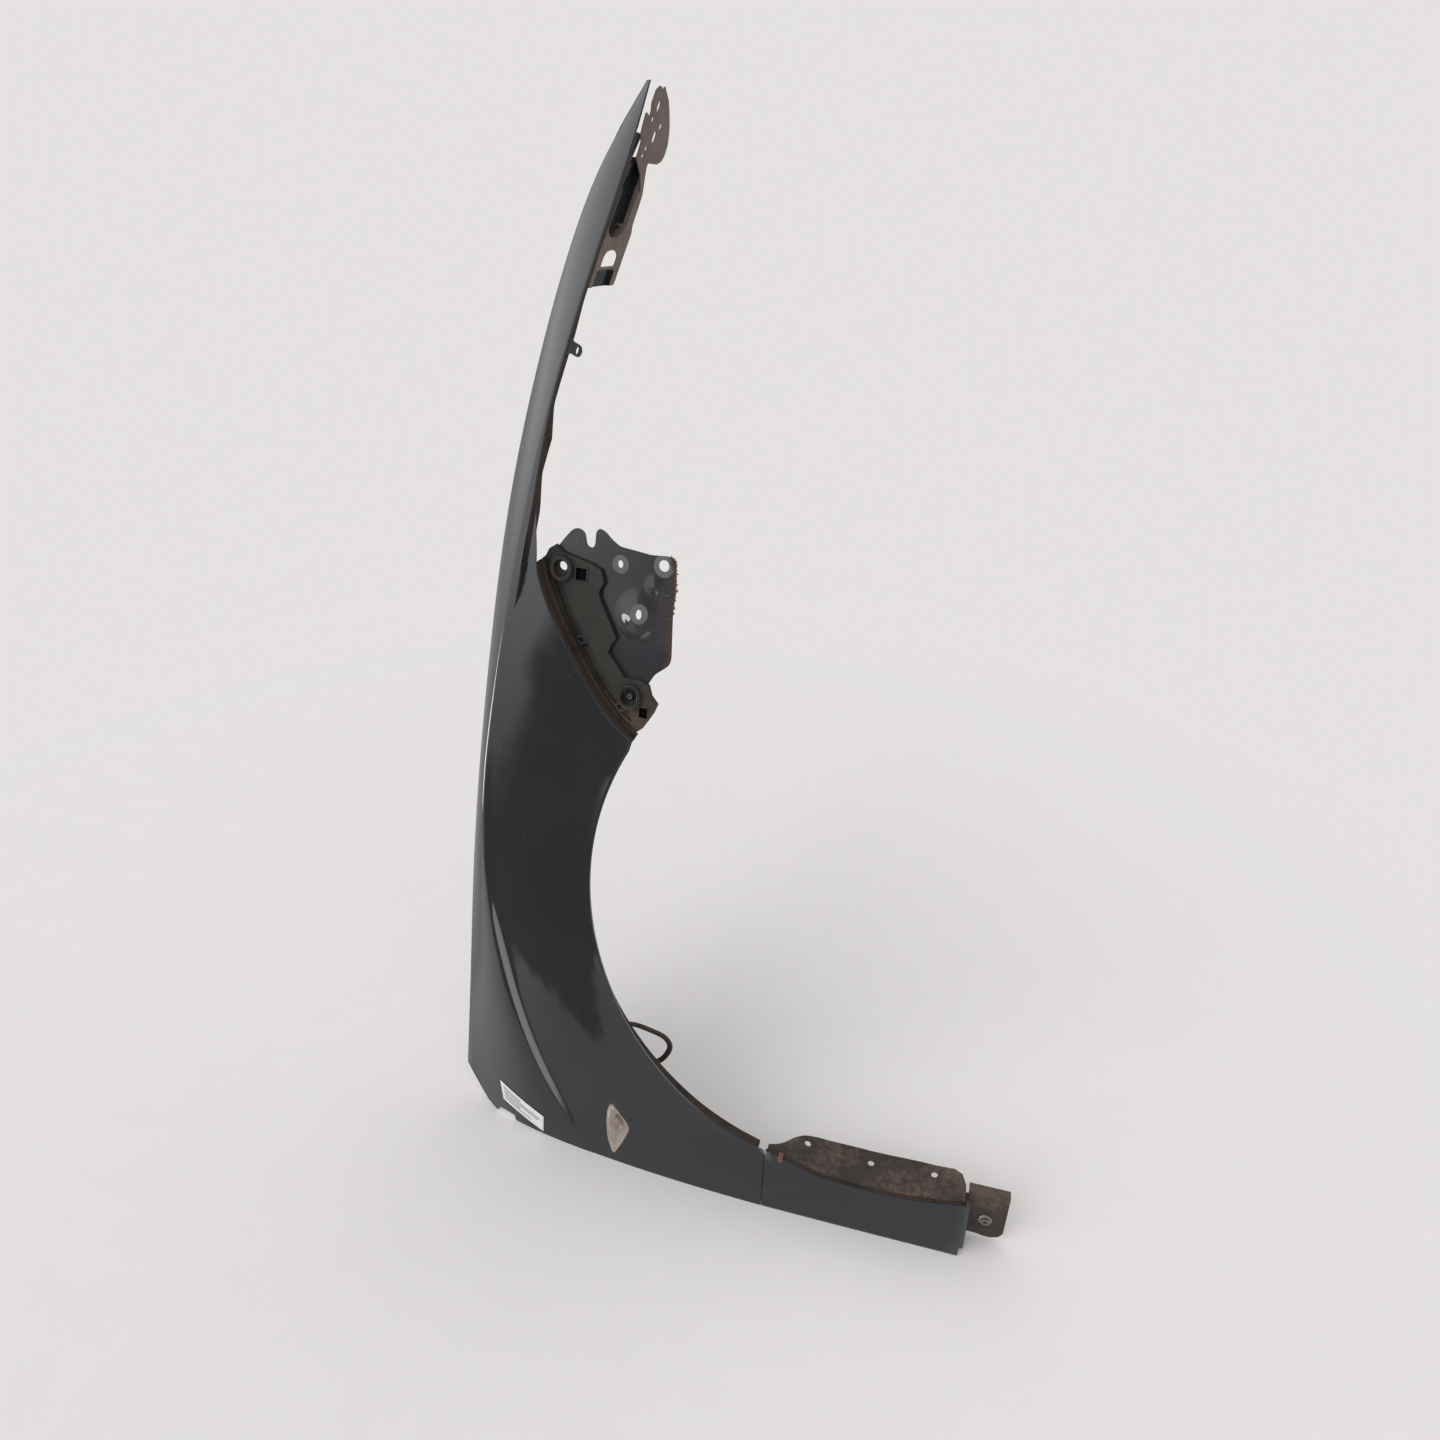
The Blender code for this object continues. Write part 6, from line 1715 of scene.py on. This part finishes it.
class FENDER_OT_side_repeater(bpy.types.Operator):
    """Make the side lamp: lens, bowl and bulb"""
    bl_idname = "fender.side_repeater"
    bl_label = "Side repeater"

    def execute(self, context):
        tree = skin_surface()
        self.lens(tree)
        self.bowl(tree)
        self.bulb(tree, context.scene.fender.fittings)
        return {"FINISHED"}

    def ring(self, scale, grow=0.0):
        return grown(lamp_outline(), LAMP_CENTRE, scale, grow)

    def flush(self, tree, depth):
        """Depth that follows the skin's surface."""
        return lambda x, z: outer_y(tree, x, z) + depth

    def level(self, tree, depth):
        """The same depth everywhere, from the skin at the lamp's middle."""
        y = outer_y(tree, *LAMP_CENTRE) + depth
        return lambda x, z: y

    def lens(self, tree):
        """Hollow dome whose rim sits in the skin's opening."""
        dome = [(math.cos(t), LAMP_RISE * math.sin(t)) for t in np.linspace(*LENS_TURN, 9)]
        inside = [(self.ring(LENS_HOLLOW * share), self.flush(tree, LENS_WALL - rise))
                  for share, rise in dome[::-1]]
        outside = [(self.ring(LENS_DOME * share), self.flush(tree, -rise))
                   for share, rise in dome]
        rim = [(self.ring(LENS_RIM), self.flush(tree, SHEET)),
               (self.ring(1.0, -GAP), self.flush(tree, SHEET)),
               (self.ring(1.0, -GAP), self.flush(tree, -LENS_PROUD))]
        lens = lofted(inside + rim + outside)
        obj = linked("clear_repeater_lens", mesh_from(lens, "clear_repeater_lens"),
                     (clear_lens(),), 45)
        hand_over(obj, "clear_lens", "repeater_lens")

    def bowl(self, tree):
        """Reflector behind the lens, held by a collar behind the skin."""
        seat = SHEET + GAP
        collar = self.ring(1.0, BOWL_COLLAR)
        loops = [(self.ring(share), self.level(tree, HOUSING_DEPTH - up))
                 for share, up in BOWL_HOLLOW]
        loops += [(self.ring(BOWL_MOUTH), self.flush(tree, seat)),
                  (collar, self.flush(tree, seat)),
                  (collar, self.flush(tree, seat + BOWL_COLLAR_SHEET))]
        loops += [(self.ring(share), self.level(tree, HOUSING_DEPTH + down))
                  for share, down in BOWL_BACK]
        obj = linked("repeater_bowl", mesh_from(lofted(loops), "repeater_bowl"),
                     (lamp_bowl(),), 45)
        hand_over(obj, "grey_plastic", "repeater_housing")

    def bulb(self, tree, fittings):
        """Round-ended bulb with a wider collar at its foot."""
        middle_y = outer_y(tree, *LAMP_CENTRE)
        base = middle_y + HOUSING_DEPTH - BULB_SEAT - GAP
        top = middle_y - LAMP_RISE * 0.3
        wide = BULB_RADIUS * BULB_COLLAR
        glass_end, collar_start = BULB_COLLAR_TOP
        profile = [(0, top)]
        for angle in np.linspace(0.15, math.pi / 2, 9):
            profile.append((BULB_RADIUS * math.sin(angle),
                            top + BULB_RADIUS * (1 - math.cos(angle))))
        profile += [(BULB_RADIUS, base - glass_end), (wide, base - collar_start), (wide, base),
                    (0, base)]
        obj = linked("orange_bulb", mesh_from(turned(profile, LAMP_CENTRE, 32), "orange_bulb"),
                     (amber_bulb(fittings),))
        hand_over(obj, "amber_bulb", "repeater_bulb")


class FENDER_OT_paper_label(bpy.types.Operator):
    """Lay the paper label on the shoulder beside the door edge"""
    bl_idname = "fender.paper_label"
    bl_label = "Paper label"

    def execute(self, context):
        fittings = context.scene.fender.fittings
        tree = skin_surface()
        corners = [Vector((x, 0, z)) for x, z in LABEL_CORNERS]
        sheet = Sheet()
        uv = sheet.bm.loops.layers.uv.new("label")
        down, across = LABEL_CELLS
        rows = []
        places = {}
        for j in range(down + 1):
            points = []
            for i in range(across + 1):
                a, b = i / across, j / down
                low = corners[3].lerp(corners[2], a)
                at = corners[0].lerp(corners[1], a).lerp(low, b)
                at.y = outer_y(tree, at.x, at.z) - LABEL_LIFT - LABEL_SHEET
                points.append(at)
            made = sheet.row(points)
            places.update({v: (j / down, i / across) for i, v in enumerate(made)})
            rows.append(made)
        for first, second in zip(rows, rows[1:]):
            sheet.join(first, second)
        for face in sheet.bm.faces:
            for loop in face.loops:
                loop[uv].uv = places[loop.vert]
        obj = linked("plain_label", sheet.mesh("plain_label"), (label_paper(fittings),))
        thickened(obj, LABEL_SHEET)
        hand_over(obj, "label_paper", "paper_label")
        return {"FINISHED"}


def grit_shape(wiring, given):
    """Uneven crumbs strewn along the line."""
    curve = wiring.add("GeometryNodeMeshToCurve", {"Mesh": given["Geometry"]}).outputs[0]
    points = wiring.add("GeometryNodeCurveToPoints", {"Curve": curve, "Count": given["Count"]},
                        mode="COUNT").outputs[0]
    spread = wiring.times(given["Size"], GRIT_SPREAD)
    low, high = [wiring.add("ShaderNodeCombineXYZ", {0: way, 1: way, 2: way}).outputs[0]
                 for way in (wiring.times(spread, -1.0), spread)]
    shift = wiring.add("FunctionNodeRandomValue", {0: low, 1: high, "Seed": 5},
                       data_type="FLOAT_VECTOR").outputs[0]
    strewn = wiring.add("GeometryNodeSetPosition", {"Geometry": points, "Offset": shift}).outputs[0]
    stone = wiring.add("GeometryNodeMeshIcoSphere", {"Radius": given["Size"], "Subdivisions": 2})
    scale = wiring.add("FunctionNodeRandomValue", {2: 0.2, 3: 1.0, "Seed": 8}, data_type="FLOAT")
    turn = wiring.add("FunctionNodeRandomValue", {0: (0, 0, 0), 1: (6.0, 6.0, 6.0), "Seed": 3},
                      data_type="FLOAT_VECTOR").outputs[0]
    values = {"Points": strewn, "Instance": stone.outputs[0], "Rotation": turn,
              "Scale": scale.outputs[1]}
    stones = wiring.add("GeometryNodeInstanceOnPoints", values).outputs[0]
    whole = wiring.add("GeometryNodeRealizeInstances", {"Geometry": stones}).outputs[0]
    noise = wiring.add("ShaderNodeTexNoise", {"Scale": 900.0, "Detail": 2.0}).outputs["Color"]
    centred = wiring.vector("SUBTRACT", noise, (0.5, 0.5, 0.5))
    push = wiring.add("ShaderNodeVectorMath", {0: centred, "Scale": given["Size"]},
                      operation="SCALE").outputs[0]
    return wiring.add("GeometryNodeSetPosition", {"Geometry": whole, "Offset": push}).outputs[0]


class FENDER_OT_edge_grit(bpy.types.Operator):
    """Strew mud crumbs along the support plate's free edge"""
    bl_idname = "fender.edge_grit"
    bl_label = "Edge grit"

    def execute(self, context):
        settings = context.scene.fender
        points = []
        for x, z in SUPPORT_OUTLINE[MUDDY_EDGE]:
            points.append(Vector((x, guide_y(x, z) + GUIDE_SHEET + PLATE_SHEET / 2, z)) - DATUM)
        mud = rusty_steel(settings.paint)
        values = {"Count": settings.fittings.grit_count, "Size": settings.fittings.grit_size,
                  "Material": mud}
        strewn = nodes_tree("grit along a line", {"Geometry": None, **values}, grit_shape)
        mesh = grown_mesh("edge_grit", points, strewn, values)
        hand_over(linked("edge_grit", mesh, (mud,), 60), "rusty_steel")
        return {"FINISHED"}


CAMERA_PLACE = (0.7875, -0.95483, -0.55402)
CAMERA_RIGHT = (0.01355, 0.25846, -0.96593)
CAMERA_UP = (0.87470, 0.46500, 0.13669)
CAMERA_AHEAD = (-0.48449, 0.84674, 0.21978)
FLAG_DIRECTION = (-0.36, -0.66, 0.65)
FLAG_SIDES = (((0.455, 0.890), 0.065, 0.030), ((-0.932, 0.362), 0.132, 0.012),
              ((0, -1), 0.275, 0.012), ((0.990, 0.140), 0.365, 0.030))
FLAG_WOBBLE = 0.018
PANE_DIRECTION = (-0.22, -0.24, 0.94)
PANE_HALF = 0.15
PANE_FULL = 0.85
LAMP_DIRECTION = (0.55, -0.62, 0.56)
LAMP_ANGLE = math.radians(48)
FLOOR_HALF = 2.2
FLOOR_GAP = 0.0005
FLOOR_FADE = (1.9, 0.9)

# What reflections show by direction: first the plain tones below and above along x, then the
# zones laid over them, each a colour and the (axis, start, full) of its soft sides
REFLECTED_PLAIN = ((0.34, 0.34, 0.35), (0.15, 0.15, 0.16))
REFLECTED_PLAIN_X = (0.15, 0.40)
REFLECTED_ZONES = (
    ((0.60, 0.605, 0.595), (("X", -0.28, -0.48), ("Y", 0.25, -0.05), ("Z", 0.48, 0.74))),
    ((1.9, 1.87, 1.84), (("Y", -0.68, -0.90), ("X", -0.26, -0.34), ("Z", 0.04, 0.16),
                         ("Z", 0.56, 0.42), ("X", -0.54, -0.44))),
    ((1.14, 1.14, 1.16), (("X", -0.35, 0.22), ("Y", 0.65, 0.35), ("Z", 0.48, 0.62))))


class FENDER_OT_studio(bpy.types.Operator):
    """Set the floor, the lights and the camera"""
    bl_idname = "fender.studio"
    bl_label = "Studio"

    def execute(self, context):
        studio = context.scene.fender.studio
        context.scene.view_settings.view_transform = "Standard"
        self.camera(context.scene)
        self.floor(studio)
        self.key_lamp(studio)
        self.surroundings(context.scene, studio)
        return {"FINISHED"}

    def camera(self, scene):
        data = bpy.data.cameras.new("camera")
        data.lens = 25
        data.sensor_width = 36
        obj = bpy.data.objects.new("camera", data)
        scene.collection.objects.link(obj)
        back = -Vector(CAMERA_AHEAD)
        turn = Matrix((CAMERA_RIGHT, CAMERA_UP, back)).transposed().to_4x4()
        turn.translation = CAMERA_PLACE
        obj.matrix_world = turn
        scene.camera = obj

    def floor(self, studio):
        """Pale ground the part stands on with its door edge, fading into the backdrop."""
        bm = bmesh.new()
        bmesh.ops.create_grid(bm, x_segments=1, y_segments=1, size=FLOOR_HALF)
        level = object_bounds()[0][0] - FLOOR_GAP
        for v in bm.verts:
            v.co = Vector((level, v.co.x, v.co.y))
        bmesh.ops.recalc_face_normals(bm, faces=bm.faces)
        bm.normal_update()
        if bm.faces[:][0].normal.x < 0:
            bmesh.ops.reverse_faces(bm, faces=bm.faces)
        obj = linked("floor", mesh_from(bm, "floor", move=False))
        made = bpy.data.materials.new("pale_floor")
        made.use_nodes = True
        nodes = made.node_tree.nodes
        nodes.remove(nodes["Principled BSDF"])
        wiring = Wiring(made.node_tree)
        speck = wiring.noise(wiring.place(), scale=18.0)
        tone = wiring.blend(speck, rgba(studio.backdrop, 1.12), rgba(studio.backdrop, 1.16))
        ground = wiring.add("ShaderNodeBsdfDiffuse", {"Color": tone}).outputs[0]
        clear = wiring.add("ShaderNodeBsdfTransparent").outputs[0]
        reach = wiring.vector("LENGTH", wiring.place(), output="Value")
        away = wiring.add("ShaderNodeNewGeometry").outputs["Backfacing"]
        share = wiring.times(wiring.between(reach, *FLOOR_FADE),
                             wiring.maths("SUBTRACT", 1.0, away))
        mixed = wiring.add("ShaderNodeMixShader", {0: share, 1: clear, 2: ground}).outputs[0]
        wiring.tree.links.new(mixed, nodes["Material Output"].inputs[0])
        obj.data.materials.append(made)
        obj.visible_glossy = False
        obj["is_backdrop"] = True

    def key_lamp(self, studio):
        data = bpy.data.lights.new("key lamp", "SUN")
        data.energy = studio.sun
        data.angle = LAMP_ANGLE
        obj = bpy.data.objects.new("key lamp", data)
        obj.visible_glossy = False
        bpy.context.scene.collection.objects.link(obj)
        toward = Vector(LAMP_DIRECTION).normalized()
        obj.rotation_euler = toward.to_track_quat("Z", "Y").to_euler()

    def flagged(self, wiring, direction):
        """1 inside the dark flag: four sides about its direction, with a wavy edge."""
        toward = Vector(FLAG_DIRECTION).normalized()
        long_way = (Vector((1, 0, 0)) - toward * toward.x).normalized()
        short_way = toward.cross(long_way)
        wave = wiring.noise(direction, scale=9.0, detail=3.0)
        wobble = wiring.between(wave, 0.3, 0.7, -FLAG_WOBBLE, FLAG_WOBBLE)
        sides = [wiring.between(wiring.lean(direction, toward), 0.0, 0.1)]
        for (across, up), limit, soft in FLAG_SIDES:
            reach = wiring.lean(direction, long_way * across + short_way * up)
            wavy = wiring.maths("ADD", reach, wobble)
            sides.append(wiring.between(wavy, limit + soft, limit - soft))
        return wiring.times(*sides)

    def reflected(self, wiring, direction, studio):
        """What glossy surfaces mirror: plain tones, bright zones, a pane and a dark flag."""
        split = wiring.split(direction)
        bright = wiring.mottled(wiring.between(split["X"], *REFLECTED_PLAIN_X), REFLECTED_PLAIN)
        for colour, sides in REFLECTED_ZONES:
            inside = [wiring.between(split[axis], start, full) for axis, start, full in sides]
            bright = wiring.blend(wiring.times(*inside), bright, rgba(colour))
        pane = wiring.lean(direction, Vector(PANE_DIRECTION).normalized())
        lit = wiring.between(pane, math.cos(PANE_HALF), math.cos(PANE_HALF * PANE_FULL))
        bright = wiring.blend(lit, bright, rgba((studio.pane,) * 3))
        flag = self.flagged(wiring, direction)
        return wiring.blend(flag, bright, rgba((studio.flag,) * 3))

    def surroundings(self, scene, studio):
        """Even light, a pale backdrop, and a third world that only reflections show."""
        world = bpy.data.worlds.new("studio")
        world.use_nodes = True
        scene.world = world
        wiring = Wiring(world.node_tree)
        path = wiring.add("ShaderNodeLightPath").outputs
        direction = wiring.add("ShaderNodeTexCoord").outputs["Generated"]
        mirrored = self.reflected(wiring, direction, studio)
        seen = wiring.blend(path["Is Glossy Ray"], rgba(studio.backdrop), mirrored)
        shown = wiring.most(path["Is Camera Ray"], path["Is Transmission Ray"],
                            path["Is Glossy Ray"])
        colour = wiring.blend(shown, rgba((studio.sky,) * 3), seen)
        background = world.node_tree.nodes["Background"]
        wiring.tree.links.new(colour, background.inputs["Color"])
        background.inputs["Strength"].default_value = 1.0


class FENDER_PT_sidebar(bpy.types.Panel):
    """Settings and steps of the fender"""
    bl_idname = "FENDER_PT_sidebar"
    bl_label = "Car fender"
    bl_space_type = "VIEW_3D"
    bl_region_type = "UI"
    bl_category = "Fender"

    def draw(self, context):
        settings = context.scene.fender
        for group in (settings.paint, settings.sheet, settings.fittings, settings.studio):
            box = self.layout.box()
            for name in group.bl_rna.properties.keys():
                if name not in ("rna_type", "name"):
                    box.prop(group, name)
        for step in STEPS:
            self.layout.operator(step.bl_idname)


GROUPS = (FenderPaint, FenderSheet, FenderFittings, FenderStudio, FenderSettings)
STEPS = (FENDER_OT_painted_sheet, FENDER_OT_inner_pressings, FENDER_OT_front_carrier,
         FENDER_OT_horn_brackets, FENDER_OT_arch_strap, FENDER_OT_side_repeater,
         FENDER_OT_paper_label, FENDER_OT_edge_grit, FENDER_OT_studio)


def register():
    for cls in (*GROUPS, *STEPS, FENDER_PT_sidebar):
        bpy.utils.register_class(cls)
    bpy.types.Scene.fender = PointerProperty(type=FenderSettings)


def unregister():
    del bpy.types.Scene.fender
    for cls in reversed((*GROUPS, *STEPS, FENDER_PT_sidebar)):
        bpy.utils.unregister_class(cls)


def main():
    register()
    bpy.ops.fender.painted_sheet()
    bpy.ops.fender.inner_pressings()
    bpy.ops.fender.front_carrier()
    bpy.ops.fender.horn_brackets()
    bpy.ops.fender.arch_strap()
    bpy.ops.fender.side_repeater()
    bpy.ops.fender.paper_label()
    bpy.ops.fender.edge_grit()
    bpy.ops.fender.studio()


if __name__ == "__main__":
    main()
